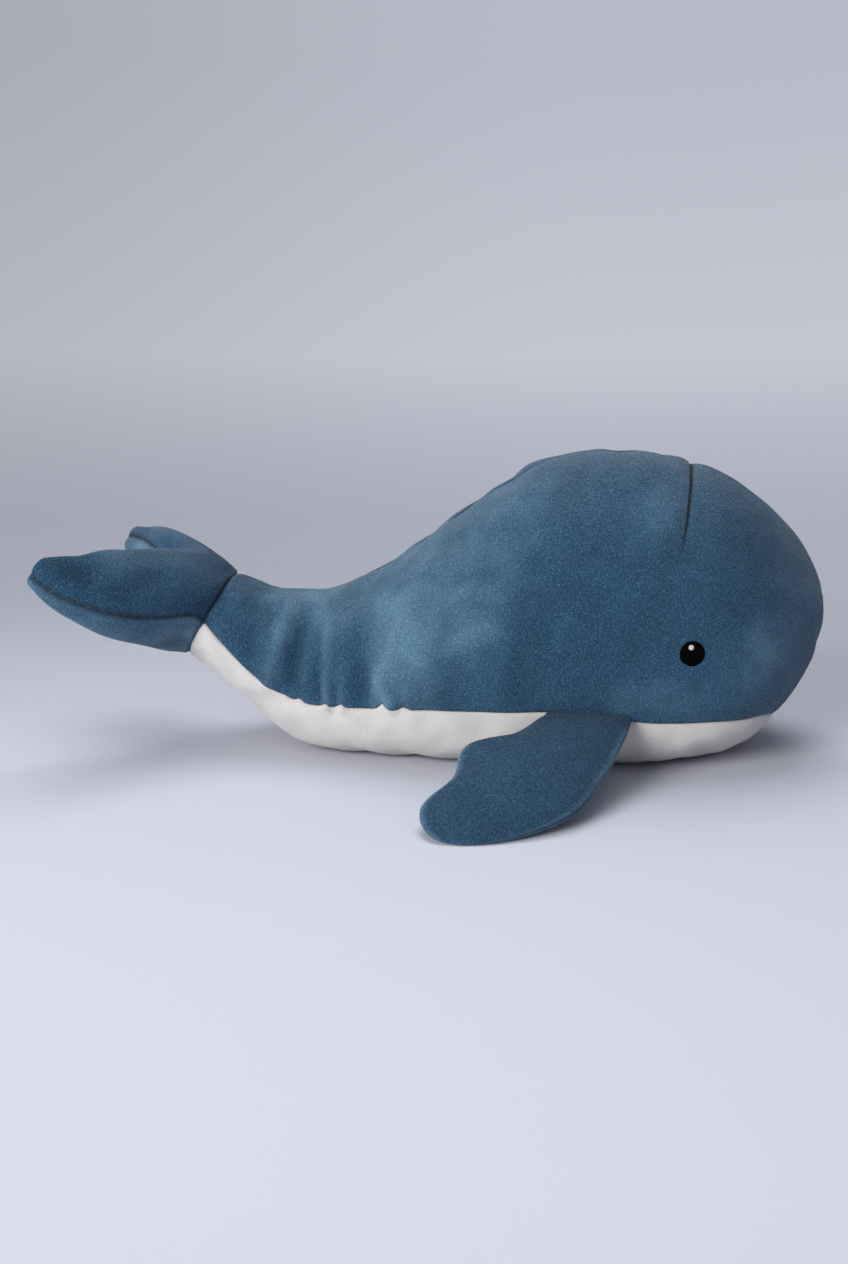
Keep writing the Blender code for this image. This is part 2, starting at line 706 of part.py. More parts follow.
def fluke_rows(inset, row_shares=FLUKE_ROW_SHARES):
    """Rows of the fluke from inside the tail to its back edge, drawn in by inset all round."""
    share, rounding = across_shares(FLUKE_COLUMNS)
    half_height, half_width = neck_size()
    swing = neck_swing()
    sheets = []
    halves = []
    for turn in (-swing, 0.0, swing):
        row = np.zeros((len(share), 3))
        row[:, 0] = half_height * math.sin(turn)
        row[:, 1] = share * (half_width * math.cos(turn) - inset)
        sheets.append(row)
        halves.append(rounding * (half_height * math.cos(turn) - inset))
    run = length(fluke_sheet(share, np.ones_like(share)) - fluke_sheet(share, np.zeros_like(share)))
    for time in row_shares:
        times = np.full_like(share, time)
        edges = fluke_sheet(np.array([0.0, 1.0]), times[:2])
        half_span = length(edges[1] - edges[0]).item()
        drawn_share = share * max(0.0, 1.0 - inset / half_span)
        drawn_time = times * (1.0 - inset / run[:, 0])
        flare = min(1.0, time / FLUKE_FLARE_SHARE)
        flare = flare * flare * (3.0 - 2.0 * flare)
        full = half_height * math.cos(swing) + FLUKE_FLARE * flare
        sheets.append(fluke_sheet(drawn_share, drawn_time))
        thin = math.sqrt(1.0 - time**FLUKE_TAPER_POWER)
        edge_power = 1.0 + (FLUKE_EDGE_POWER - 1.0) * flare
        halves.append(rounding**edge_power * max(full * thin - inset, 0.0))
    return np.array(sheets), np.array(halves)


def in_tail_frame(points):
    middle, along, up, _ = tail_frame()
    placed = middle + points[..., :1] * along + points[..., 2:] * up
    placed[..., 1] = points[..., 1]
    return placed


def make_fluke_panels(material, frame):
    up = np.array([0.0, 0.0, 1.0])
    outer = fluke_rows(0.0)
    inner = fluke_rows(FABRIC)
    for name, facing in (("fluke_upper_panel", 1.0), ("fluke_lower_panel", -1.0)):
        outside = in_tail_frame(limb_side(outer, facing, up))
        inside = in_tail_frame(limb_side(inner, facing, up))
        panel(name, outside, inside, material, frame)


def make_fluke_stuffing(material, frame):
    """A base with a round end in the tail's hollow, and a filling in each lobe behind it."""
    up = np.array([0.0, 0.0, 1.0])
    inset = FABRIC + STUFFING_GAP + STUFFING_EXTRA
    first_rows = [share for share in FLUKE_ROW_SHARES if share <= LOBE_START_SHARE]
    sheet, half = fluke_rows(inset, first_rows)
    rise = half[..., None] * up
    neck = neck_size()[0] - inset
    rings = []
    for turn_deg in NECK_CAP_DEG:
        turn = math.radians(turn_deg)
        ring = limb_ring(sheet[1] + rise[1], sheet[1] - rise[1]) * math.sin(turn)
        ring[:, 0] = -neck * math.cos(turn)
        rings.append(ring)
    rings += [limb_ring(row + lift, row - lift) for row, lift in zip(sheet, rise)]
    filling("fluke_base_stuffing", in_tail_frame(np.array(rings)), material, frame)

    later_rows = [share for share in FLUKE_ROW_SHARES if share > LOBE_START_SHARE]
    sheet, half = fluke_rows(inset, [LOBE_START_SHARE + LOBE_CLEARANCE_SHARE] + later_rows)
    filled = half.max(axis=1) > 0.0
    filled[:len(sheet) - len(later_rows) - 1] = False
    middle = FLUKE_COLUMNS // 2
    for label, side in (("left", 1.0), ("right", -1.0)):
        line = sheet[filled, middle:]
        line[:, 0] += (line[:, 1] - line[:, 0]) * LOBE_MIDDLE_SHARE
        line[..., 1] *= side
        rise = half[filled, middle:, None] * up
        rings = np.array([limb_ring(row + lift, row - lift) for row, lift in zip(line, rise)])
        filling(f"fluke_lobe_{label}_stuffing", in_tail_frame(rings), material, frame)


# Fins

FIN_OUT = spline([row[0] for row in FIN_OUTLINE_SHARES])
FIN_REAR = spline([row[1] for row in FIN_OUTLINE_SHARES])
FIN_FRONT = spline([row[2] for row in FIN_OUTLINE_SHARES])


def fin_row(row, share, inset, out):
    rear = float(FIN_REAR(row)) * FIN_LENGTH
    front = float(FIN_FRONT(row)) * FIN_LENGTH
    half_chord = 0.5 * (front - rear)
    forward = 0.5 * (front + rear) + share * max(0.0, half_chord - inset)
    return np.stack([forward, np.full_like(share, out), np.zeros_like(share)], -1)


def fin_rows(inset):
    """Rows of a fin from its rolled root to its tip: forward, outward and up, and half heights."""
    share, rounding = across_shares(FIN_COLUMNS)
    sheets = []
    halves = []
    for turn_deg in FIN_ROOT_ROLL_DEG:
        turn = math.radians(turn_deg)
        out = -(FIN_ROOT_RADIUS - min(inset, FIN_ROOT_RADIUS)) * math.sin(turn)
        sheets.append(fin_row(0.0, share, inset, out))
        halves.append(rounding * max(FIN_ROOT_RADIUS * math.cos(turn) - inset, 0.0))
    swelling = 0.5 * FIN_THICKNESS - FIN_ROOT_RADIUS
    for row in FIN_ROWS:
        reach = float(FIN_OUT(row))
        swell = math.sin(math.pi * reach**FIN_SWELL_POWER) ** FIN_SWELL_POWER
        close = math.sqrt(max(0.0, 1.0 - reach**FIN_TIP_POWER))
        half = (FIN_ROOT_RADIUS + swelling * swell) * close
        sheets.append(fin_row(row, share, inset, reach * (FIN_LENGTH - inset)))
        halves.append(rounding * max(half - inset, 0.0))
    return np.array(sheets), np.array(halves)


def fin_axes(side):
    """Rear end of the fin's hinge line, its forward direction and its level outward direction."""
    stations = np.linspace(BELLY_TIP_STATION + BELLY_ROUND_STATIONS, LAST_STATION, SEAM_SAMPLES)
    seam = body_points(stations, seam_angle(stations), side)
    rear_x = -FIN_REAR_ROOT_SHARE * BODY_LENGTH
    ends = []
    for x in (rear_x, rear_x + FIN_ROOT_CHORD):
        station = np.interp(-x, -seam[:, 0], stations)
        ends.append(body_points(station, seam_angle(station), side))
    rear, front = ends
    forward = unit(front - rear)
    outward = np.array([0.0, side, 0.0])
    outward = unit(outward - forward * (outward @ forward))
    band = np.linspace(-FIN_SEAT_DEG, FIN_SEAT_DEG, SEAT_SAMPLES)
    angles = seam_angle(stations)[:, None] + band[None, :]
    body = body_points(stations[:, None], angles, side).reshape(-1, 3)
    beside = (body - rear) @ forward
    level = np.abs(body[:, 2] - rear[2])
    near = (beside > 0.0) & (beside < FIN_ROOT_CHORD) & (level < FIN_ROOT_RADIUS)
    bulge = np.max((body[near] - rear) @ outward)
    seat = bulge + FIN_ROOT_RADIUS + 0.5 * SEAM_GAP + FIN_PLAY
    return rear + outward * seat, forward, outward


def in_fin_frame(points, hinge, forward, outward, droop):
    """Turns fin rows into the whale's frame, with the fin turned down by droop."""
    up = np.cross(forward, outward)
    up = up if up[2] > 0.0 else -up
    out = outward * math.cos(droop) - up * math.sin(droop)
    rise = up * math.cos(droop) + outward * math.sin(droop)
    return hinge + points[..., :1] * forward + points[..., 1:2] * out + points[..., 2:] * rise


def fin_droop(hinge, forward, outward):
    """The angle at which the fin's underside just reaches the floor."""
    under = limb_side(fin_rows(0.0), -1.0, np.array([0.0, 0.0, 1.0]))
    low, high = 0.0, math.radians(FIN_STEEPEST_DEG)
    for _ in range(SEARCH_STEPS):
        droop = 0.5 * (low + high)
        lowest = in_fin_frame(under, hinge, forward, outward, droop)[..., 2].min()
        low, high = (droop, high) if lowest > FIN_FLOOR_GAP else (low, droop)
    return 0.5 * (low + high)


def make_fin(label, side, materials, whale):
    hinge, forward, outward = fin_axes(side)
    droop = fin_droop(hinge, forward, outward)
    middle = hinge + forward * 0.5 * FIN_ROOT_CHORD
    frame = make_frame(f"fin_{label}_hinge", middle, whale)
    up = np.array([0.0, 0.0, 1.0])

    def place(points):
        return in_fin_frame(points, hinge, forward, outward, droop)

    outer = fin_rows(0.0)
    inner = fin_rows(FABRIC)
    for name, facing in (("upper", 1.0), ("lower", -1.0)):
        outside = place(limb_side(outer, facing, up))
        inside = place(limb_side(inner, facing, up))
        panel(f"fin_{label}_{name}_panel", outside, inside, materials["blue_plush"], frame)

    sheet, half = fin_rows(FABRIC + STUFFING_GAP + STUFFING_EXTRA)
    filled = (sheet[:, 0, 1] > FIN_STUFFING_START_SHARE * FIN_LENGTH) & (half.max(axis=1) > 0.0)
    rise = half[filled, :, None] * up
    rings = [limb_ring(row + lift, row - lift) for row, lift in zip(sheet[filled], rise)]
    filling(f"fin_{label}_stuffing", place(np.array(rings)), materials["fibrefill"], frame)
    print(f"fin_{label} hinge at {np.round(middle, 5)} along {np.round(forward, 5)},",
          f"drooping {math.degrees(droop):.2f} degrees")
    return frame


def build():
    for old in list(bpy.data.objects):
        bpy.data.objects.remove(old, do_unlink=True)
    materials = {
        "blue_plush": make_material("blue_plush", BLUE_PLUSH, PLUSH_ROUGHNESS),
        "cream_plush": make_material("cream_plush", CREAM_PLUSH, PLUSH_ROUGHNESS),
        "black_thread": make_material("black_thread", BLACK_THREAD, THREAD_ROUGHNESS),
        "white_thread": make_material("white_thread", WHITE_THREAD, THREAD_ROUGHNESS),
        "fibrefill": make_material("fibrefill", FIBREFILL, FIBREFILL_ROUGHNESS),
    }
    whale = make_frame("whale_frame", (0.0, 0.0, 0.0))
    make_side_panel("side_panel_right", -1.0, materials["blue_plush"], whale)
    make_side_panel("side_panel_left", 1.0, materials["blue_plush"], whale)
    make_belly_panel("belly_panel", materials["cream_plush"], whale)
    make_body_stuffing(materials["fibrefill"], whale)
    for label, side in (("right", -1.0), ("left", 1.0)):
        make_eye(label, side, materials, whale)
        make_fin(label, side, materials, whale)
    fluke_hinge = make_frame("fluke_hinge", tail_frame()[0], whale)
    make_fluke_panels(materials["blue_plush"], fluke_hinge)
    make_fluke_stuffing(materials["fibrefill"], fluke_hinge)

    bpy.context.view_layer.update()
    meshes = [part for part in bpy.data.objects if part.type == "MESH"]
    along = [(part.matrix_world @ vertex.co).x for part in meshes for vertex in part.data.vertices]
    whale.location.x = -0.5 * (min(along) + max(along))
    bpy.context.view_layer.update()
    for part in bpy.data.objects:
        if part.type == "EMPTY":
            print(part.name, [round(value, 5) for value in part.matrix_world.translation])
    print("length", round(max(along) - min(along), 4), "pieces", len(meshes))


build()
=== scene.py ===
# %% [markdown]
# # A plush whale, sewn and stuffed
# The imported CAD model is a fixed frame: sewn panels with an even gap between them, and the
# filling inside. This lesson dresses it. Each panel is made again with many more points, so
# that it can hold seams, folds and swelling, and gets a finish of short plush pile. Nothing
# in the frame is moved, because the same model also has to flex in a simulator.

# %% Load the frame
import json
import math

import bmesh
import bpy
import numpy as np
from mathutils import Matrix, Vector
from mathutils.kdtree import KDTree


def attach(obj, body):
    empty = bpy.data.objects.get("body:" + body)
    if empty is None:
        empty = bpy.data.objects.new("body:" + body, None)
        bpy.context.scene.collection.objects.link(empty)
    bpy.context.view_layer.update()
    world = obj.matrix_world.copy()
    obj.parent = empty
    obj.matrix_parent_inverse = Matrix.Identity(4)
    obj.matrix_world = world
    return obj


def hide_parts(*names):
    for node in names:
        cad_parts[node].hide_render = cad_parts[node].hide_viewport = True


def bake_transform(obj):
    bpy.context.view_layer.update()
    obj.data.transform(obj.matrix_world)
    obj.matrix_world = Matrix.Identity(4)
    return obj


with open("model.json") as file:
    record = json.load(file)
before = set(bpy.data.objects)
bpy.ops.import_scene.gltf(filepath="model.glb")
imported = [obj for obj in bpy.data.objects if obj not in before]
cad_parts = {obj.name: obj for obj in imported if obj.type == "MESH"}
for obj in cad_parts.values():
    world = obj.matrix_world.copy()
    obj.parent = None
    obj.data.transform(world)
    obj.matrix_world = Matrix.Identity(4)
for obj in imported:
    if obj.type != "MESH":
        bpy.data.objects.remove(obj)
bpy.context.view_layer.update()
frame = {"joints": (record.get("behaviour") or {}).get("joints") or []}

MM = 0.001

# %% [markdown]
# ## The whale's form
# A sewn whale is hard to model by pushing points about, because every seam has to lie on
# the same surface. So the surface is written as a formula: stations count from the nose to
# the tail seam, and at each one the section is a rounded oval. Splines through a short table
# give its top, bottom and width. Any point is then found by a station and an angle, and a
# seam is only a line of stations and angles.

# %% Sizes of the body
BODY_LENGTH = 344.0 * MM
BODY_HEIGHT = 157.0 * MM
BODY_WIDTH = 148.0 * MM
FLOOR_CUT = 0.5 * MM
UPPER_SQUARENESS = 2.1

# How far back and how high the back line lies, the same for the belly line, the half
# width, and how far up the section its widest line is. Shares of length, height and width.
STATION_SHARES = (
    (0.007, 0.474, 0.007, 0.474, 0.000, 0.48),
    (0.019, 0.604, 0.025, 0.305, 0.300, 0.45),
    (0.049, 0.706, 0.057, 0.175, 0.540, 0.43),
    (0.098, 0.812, 0.094, 0.075, 0.735, 0.41),
    (0.160, 0.911, 0.139, 0.016, 0.882, 0.40),
    (0.233, 0.974, 0.209, 0.000, 0.968, 0.40),
    (0.320, 1.000, 0.303, 0.000, 1.000, 0.40),
    (0.417, 0.978, 0.411, 0.000, 0.985, 0.40),
    (0.516, 0.871, 0.525, 0.000, 0.930, 0.40),
    (0.610, 0.724, 0.636, 0.000, 0.845, 0.40),
    (0.698, 0.596, 0.740, 0.001, 0.730, 0.42),
    (0.775, 0.528, 0.836, 0.036, 0.600, 0.45),
    (0.849, 0.530, 0.917, 0.184, 0.485, 0.48),
    (0.921, 0.583, 0.999, 0.306, 0.395, 0.50),
)
LOWER_SQUARENESS = (2.1, 2.0, 1.9, 1.9, 2.4, 3.6, 4.9, 5.2, 5.1, 4.0, 3.3, 2.6, 2.3, 2.0)
SEAM_DEG = (35.0, 35.0, 34.8, 32.8, 29.5, 26.5, 26.0, 22.3, 18.7, 12.8, 9.2, 11.5, 15.8, 0.0)
LAST_STATION = len(STATION_SHARES) - 1
BELLY_TIP_STATION = 2.55
BELLY_CORNER_STATION = 2.88
BELLY_ROUND_STATIONS = 1.6
DART_TOP_STATION = 4.77
DART_LEAN_STATIONS = 0.74
DART_DEG = 54.0


# %% Curves
def spline(values):
    """A smooth curve that takes the given values at 0, 1, 2 and so on."""
    points = np.asarray(values, float)
    count = len(points)
    matrix = 4.0 * np.eye(count) + np.eye(count, k=1) + np.eye(count, k=-1)
    matrix[[0, -1]] = np.eye(count)[[0, -1]]
    bend = np.zeros(count)
    bend[1:-1] = 6.0 * (points[2:] - 2.0 * points[1:-1] + points[:-2])
    second = np.linalg.solve(matrix, bend)

    def at(place):
        place = np.clip(np.asarray(place, float), 0.0, count - 1.0)
        index = np.minimum(place.astype(int), count - 2)
        after = place - index
        before = 1.0 - after
        straight = before * points[index] + after * points[index + 1]
        curved = (before**3 - before) * second[index] + (after**3 - after) * second[index + 1]
        return straight + curved / 6.0

    return at


def outline_spline(belly, back):
    return spline(list(belly[:0:-1]) + list(back))


columns = list(zip(*STATION_SHARES))
ALONG = outline_spline(columns[2], columns[0])
HEIGHT = outline_spline(columns[3], columns[1])
HALF_WIDTH = outline_spline([-width for width in columns[4]], columns[4])
WIDEST = spline(columns[5])
SQUARENESS = spline(LOWER_SQUARENESS)
SEAM_ANGLE = spline(SEAM_DEG)

# %% Small helpers
STEP = 1e-4
TINY = 1e-9


def mm(*values):
    return np.array(values) * MM


def unit(vectors):
    return vectors / np.maximum(np.linalg.norm(vectors, axis=-1, keepdims=True), TINY**2)


def cos_deg(angle):
    return np.cos(np.radians(angle))


def sin_deg(angle):
    return np.sin(np.radians(angle))


def smooth_step(value):
    value = np.clip(value, 0.0, 1.0)
    return value * value * (3.0 - 2.0 * value)


def hill(distance, height, width):
    """A soft hill, height tall in its middle, that fades over its width."""
    return height * np.exp(-((distance / width) ** 2))


def hill_at(points, middle, height, width):
    return hill(np.linalg.norm(points - middle, axis=-1), height, width)


# %% The outline in the mirror plane, placed on the frame's tail joint
def outline(place):
    span = BODY_HEIGHT + FLOOR_CUT
    along = -BODY_LENGTH * ALONG(place)
    return np.stack([along, np.zeros_like(along), span * HEIGHT(place) - FLOOR_CUT], -1)


def frame_joint(name):
    return next(joint for joint in frame["joints"] if joint["name"] == name)


tail_back = outline(np.array(2.0 * LAST_STATION))
tail_belly = outline(np.array(0.0))
tail_x = frame_joint("tail_fluke_flex")["pos_m"][0]
SHIFT = np.array([tail_x - 0.5 * (tail_back + tail_belly)[0], 0.0, 0.0])
print("the whale's own zero lies at x =", round(float(SHIFT[0]), 5))

# %% Gathers of the belly seam
# Where the blue cloth was a little too long, the seam caught it in small gathers: the cream
# pokes up at each of these places (mm along the body) and the blue hangs down between them.
GATHERS_AT = (-92.0, -84.0, -69.0, -60.5, -38.0, -26.5)
GATHER_RISES = (0.4, 1.0, 1.0, 1.0, 1.3, 0.7)
GATHER_RISE_DEG = 2.5
GATHER_SAG_DEG = 0.9
GATHER_WIDTH = 2.1
GATHERED_MIDDLE = -58.0
GATHERED_REACH = 40.0


def gathers(station):
    along = (-BODY_LENGTH * ALONG(LAST_STATION - station) + SHIFT[0]) / MM
    window = np.exp(-(((along - GATHERED_MIDDLE) / GATHERED_REACH) ** 6))
    peaks = sum(hill(along - place, rise, GATHER_WIDTH)
                for place, rise in zip(GATHERS_AT, GATHER_RISES))
    return window * (GATHER_RISE_DEG * peaks - GATHER_SAG_DEG)


# %% The body's surface
def belly_and_back(station):
    return outline(LAST_STATION - station), outline(LAST_STATION + station)


def section_radius(station, angle):
    """Distance from a section's middle to its edge, at an angle above the widest line."""
    belly, back = belly_and_back(station)
    span = np.linalg.norm(back - belly, axis=-1)
    widest = WIDEST(station)
    half_width = 0.5 * BODY_WIDTH * HALF_WIDTH(LAST_STATION + station)
    over = angle > 0.0
    half_height = span * np.where(over, 1.0 - widest, widest)
    power = np.where(over, UPPER_SQUARENESS, SQUARENESS(station))
    across = np.abs(cos_deg(angle)) / np.maximum(half_width, TINY)
    upright = np.abs(sin_deg(angle)) / np.maximum(half_height, TINY)
    return (across**power + upright**power) ** (-1.0 / power)


def smooth_body(station, angle, side):
    """Points of the body without its seams. side is -1 on the right and +1 on the left."""
    station, angle = np.broadcast_arrays(np.asarray(station, float), np.asarray(angle, float))
    belly, back = belly_and_back(station)
    up = unit(back - belly + np.array([0.0, 0.0, TINY]))
    middle = belly + (back - belly) * WIDEST(station)[..., None]
    radius = section_radius(station, angle)
    points = middle + up * (radius * sin_deg(angle))[..., None]
    points[..., 1] = side * radius * cos_deg(angle)
    return points + SHIFT


def body_normal(station, angle, side):
    station, angle = np.broadcast_arrays(np.asarray(station, float), np.asarray(angle, float))
    nose_run = outline(LAST_STATION + STEP) - outline(LAST_STATION - STEP)
    at_nose = unit(np.array([nose_run[2], 0.0, -nose_run[0]]))
    beside = np.clip(station, 2.0 * STEP, LAST_STATION - STEP)
    along = smooth_body(beside + STEP, angle, side) - smooth_body(beside - STEP, angle, side)
    around = smooth_body(beside, angle + STEP, side) - smooth_body(beside, angle - STEP, side)
    normal = unit(side * np.cross(along, around))
    return np.where((station < STEP)[..., None], at_nose, normal)


# %% Lines of the seams
def seam_angle(station):
    """Angle of the belly seam below the widest line; it rounds in to the belly's front edge."""
    share = np.clip((station - BELLY_TIP_STATION) / BELLY_ROUND_STATIONS, 0.0, 1.0)
    opened = np.sqrt(1.0 - (1.0 - share) ** 2)
    smooth = -90.0 + (90.0 - SEAM_ANGLE(station)) * opened
    return smooth + gathers(station)


def front_station(angle):
    """Station of the belly's round front edge at each angle, up to the seam's corner."""
    opened = np.clip((angle + 90.0) / (90.0 - SEAM_ANGLE(BELLY_CORNER_STATION)), 0.0, 1.0)
    edge = BELLY_TIP_STATION + BELLY_ROUND_STATIONS * (1.0 - np.sqrt(1.0 - opened**2))
    return np.minimum(edge, BELLY_CORNER_STATION)


def dart_line(angle):
    return DART_TOP_STATION + DART_LEAN_STATIONS * (90.0 - angle) / DART_DEG


# %% [markdown]
# ## Seams, folds and swelling
# A seam shows as a fine dark line with the fabric swelling up on both sides of it, because
# the stitches pull it in and the filling pushes it out. The folds near the tail come from
# the belly seam, which gathers the blue fabric a little. Sculpting them by hand would work,
# but a table of short lines, each a ridge or a valley, keeps every fold where the photograph
# has it and can be read later.

# %% How seams pull the fabric in
SEAM_DEPTH = 1.2 * MM
SEAM_WIDTH = 0.75 * MM
DIP_DEPTH = 0.55 * MM
DIP_WIDTH = 4.0 * MM
SHADE_WIDTH = 0.8 * MM
BACK_SEAM = 0.6
BELLY_SEAM = 0.65
TAIL_SEAM = 0.75
DART = 2.3


def body_seams(station, angle):
    """Distance to each seam of the body, and how hard that seam pulls there."""
    radius = section_radius(station, angle)
    front = front_station(angle)
    yield radius * np.abs(cos_deg(angle)), BACK_SEAM * ((angle > 0.0) | (station < front))
    to_seam = radius * np.radians(np.abs(angle - seam_angle(station)))
    yield to_seam, BELLY_SEAM * (station >= BELLY_CORNER_STATION)
    below = outline(LAST_STATION - station + 0.5) - outline(LAST_STATION - station - 0.5)
    to_front = np.abs(station - front) * np.linalg.norm(below, axis=-1)
    in_front = (station < BELLY_CORNER_STATION) * (angle < seam_angle(BELLY_CORNER_STATION))
    yield to_front, BELLY_SEAM * in_front
    yield (LAST_STATION - station) * BODY_LENGTH / LAST_STATION, TAIL_SEAM
    to_dart = (station - dart_line(angle)) * BODY_LENGTH / LAST_STATION
    yield to_dart, DART * np.clip((angle - 90.0 + DART_DEG) / DART_DEG, 0.0, 1.0) ** 0.5


def seam_depth(station, angle):
    """A fine groove in the middle of a wide shallow dip, at every seam."""
    return sum(strength * (hill(distance, SEAM_DEPTH, SEAM_WIDTH)
                           + hill(distance, DIP_DEPTH, DIP_WIDTH))
               for distance, strength in body_seams(station, angle))


def seam_shade(station, angle):
    """1 in the bottom of a groove, where no light gets in between the tufts, 0 away from it."""
    shade = sum(strength * hill(distance, 1.0, SHADE_WIDTH)
                for distance, strength in body_seams(station, angle))
    return np.clip(shade, 0.0, 1.0)


# %% Soft unevenness of stuffed cloth, from a few waves with a fixed seed
def soft_waves(points, size, height, seed, count=14):
    """Gentle hills about size across, at most about height tall, the same on every run."""
    draw = np.random.default_rng(seed)
    total = np.zeros(points.shape[:-1])
    for _ in range(count):
        direction = unit(draw.normal(size=3)) * (2.0 * math.pi / size) * draw.uniform(0.7, 1.4)
        total += np.sin(points @ direction + draw.uniform(0.0, 2.0 * math.pi))
    return height * total / math.sqrt(count)


# %% Folds of the side panels, as lines in the side view
# Each row: top x and z, bottom x and z, height (a valley is negative) and width, in mm.
SIDE_FOLDS = (
    (-80.0, 84.0, -92.5, 40.0, 2.9, 4.2),
    (-71.0, 86.0, -80.0, 42.0, -2.7, 4.6),
    (-65.8, 66.0, -66.0, 34.0, -1.8, 2.8),
    (-60.4, 80.0, -62.0, 30.0, 2.7, 2.8),
    (-57.4, 48.0, -57.8, 26.0, -1.7, 2.0),
    (-53.5, 54.0, -54.6, 28.0, 1.6, 2.6),
    (-46.0, 74.0, -43.0, 34.0, -1.3, 4.5),
    (-40.5, 62.0, -29.5, 31.0, 2.5, 3.4),
    (-27.0, 46.0, -25.0, 29.0, -1.2, 2.6),
    (-20.0, 80.0, -14.0, 40.0, 1.2, 8.0),
    (-97.0, 72.0, -103.0, 52.0, -1.2, 4.0),
    (-107.0, 86.0, -117.0, 66.0, 1.2, 4.0),
)
FOLD_FREE_OF_MIDDLE = 22.0 * MM


def distance_to_line(points, start, end):
    """Distance of points from a line, and how far along it they lie."""
    run = end - start
    share = ((points - start) @ run) / (run @ run)
    nearest = start + np.clip(share, 0.0, 1.0)[..., None] * run
    return np.linalg.norm(points - nearest, axis=-1), share


def fold_height(points):
    """How far the folds raise or lower points of the body's sides."""
    flat = points[..., [0, 2]]
    height = np.zeros(flat.shape[:-1])
    for top_x, top_z, low_x, low_z, rise, width in SIDE_FOLDS:
        distance, share = distance_to_line(flat, mm(top_x, top_z), mm(low_x, low_z))
        height += hill(distance, rise * MM, width * MM) * smooth_step(share * 1.7 + 0.15)
    return height * smooth_step(np.abs(points[..., 1]) / FOLD_FREE_OF_MIDDLE)


# %% Patches of brushed pile and of painted light and shade
# Each row: x, z, half length and half height in mm, and how much lighter it looks. Some patches are brushed pile,
# others painted light and shade where the sides face towards the lamp or away from it.
NAP_AND_LIGHT_PATCHES = (
    (-24.0, 62.0, 16.0, 28.0, 0.42),
    (-72.0, 78.0, 24.0, 13.0, 0.30),
    (-4.0, 106.0, 22.0, 16.0, 0.30),
    (34.0, 130.0, 24.0, 10.0, 0.22),
    (8.0, 76.0, 10.0, 18.0, 0.26),
    (26.0, 96.0, 12.0, 14.0, 0.16),
    (-46.0, 48.0, 8.0, 16.0, -0.03),
    (-34.0, 48.0, 4.5, 16.0, 0.30),
    (-112.0, 78.0, 14.0, 16.0, -0.10),
    (64.0, 86.0, 26.0, 40.0, -0.06),
    (146.0, 104.0, 22.0, 46.0, -0.12),
    (96.0, 40.0, 24.0, 8.0, 0.12),
    (150.0, 60.0, 16.0, 16.0, 0.24),
    (104.0, 128.0, 16.0, 12.0, 0.12),
)
PATCH_WANDER = 3.2
PATCH_STRENGTH = 1.6
BODY_FOLD_SHADE = 0.12
NAP_RANGE = (-0.35, 0.9)


def brushed_and_painted_light(points):
    """Brushed pile and painted light and shade at points, from 0, with the folds' ridges painted lighter and their
    valleys darker.
    """
    flat = points[..., [0, 2]] / MM
    flat[..., 0] += soft_waves(points, 21.0 * MM, PATCH_WANDER, 41)
    flat[..., 1] += soft_waves(points, 17.0 * MM, PATCH_WANDER, 42)
    shade = np.zeros(flat.shape[:-1])
    for x, z, half_long, half_high, amount in NAP_AND_LIGHT_PATCHES:
        reach = ((flat[..., 0] - x) / half_long) ** 2 + ((flat[..., 1] - z) / half_high) ** 2
        shade += amount * np.exp(-reach)
    # Painted light and shade of the folds: ridges lighter, valleys darker.
    folds = BODY_FOLD_SHADE * fold_height(points) / MM
    return np.clip(PATCH_STRENGTH * shade + folds, *NAP_RANGE)


# %% The body's outer surface
BACK_BULGE = mm(44.0, 13.0, 150.0)
BACK_BULGE_HEIGHT = 2.6 * MM
BACK_BULGE_RADIUS = 14.0 * MM
BROAD_WAVES = (55.0 * MM, 0.45 * MM)
FINE_WAVES = (17.0 * MM, 0.12 * MM)
RESTING_HEIGHT = 14.0 * MM


def sewn_body(station, angle, side, swelling):
    """The body's outer surface with its seams, folds, swelling and unevenness."""
    base = smooth_body(station, angle, side)
    normal = body_normal(station, angle, side)
    rise = fold_height(base) + soft_waves(base, *BROAD_WAVES, 3 if side < 0 else 8)
    rise += soft_waves(base, *FINE_WAVES, 5)
    rise += hill_at(base, BACK_BULGE, BACK_BULGE_HEIGHT, BACK_BULGE_RADIUS)
    resting = 1.0 - smooth_step(1.0 - base[..., 2] / RESTING_HEIGHT)
    points = base + normal * (rise * resting - seam_depth(station, angle) + swelling)[..., None]
    points[..., 2] = np.maximum(points[..., 2], 0.0)
    return points


# %% [markdown]
# ## Turning points into panels
# A panel is a sheet of points, then a wall all round and the same sheet a fabric's
# thickness further in. Blender's Solidify would do it too, but a plain double sheet keeps
# control of the seam allowance and has no modifier left on it.

# %% Mesh helpers
FABRIC = 1.2 * MM
MERGE = 0.0005 * MM


def link(name, mesh):
    piece = bpy.data.objects.new(name, mesh)
    bpy.context.scene.collection.objects.link(piece)
    return piece


def smooth_object(name, bm):
    mesh = bpy.data.meshes.new(name)
    bm.to_mesh(mesh)
    bm.free()
    mesh.shade_smooth()
    return link(name, mesh)


def grid_faces(bm, rows, cells=None):
    for i in range(len(rows) - 1):
        for j in range(len(rows[i]) - 1):
            if cells is None or cells[i][j]:
                ring = (rows[i][j], rows[i + 1][j], rows[i + 1][j + 1], rows[i][j + 1])
                corners = list(dict.fromkeys(ring))
                if len(corners) > 2 and bm.faces.get(corners) is None:
                    bm.faces.new(corners)


def grid_verts(bm, grid):
    known = {}
    rows = []
    for line in grid:
        row = []
        for point in line:
            key = tuple(np.round(point / MERGE).astype(int))
            if key not in known:
                known[key] = bm.verts.new(point)
            row.append(known[key])
        rows.append(row)
    return rows


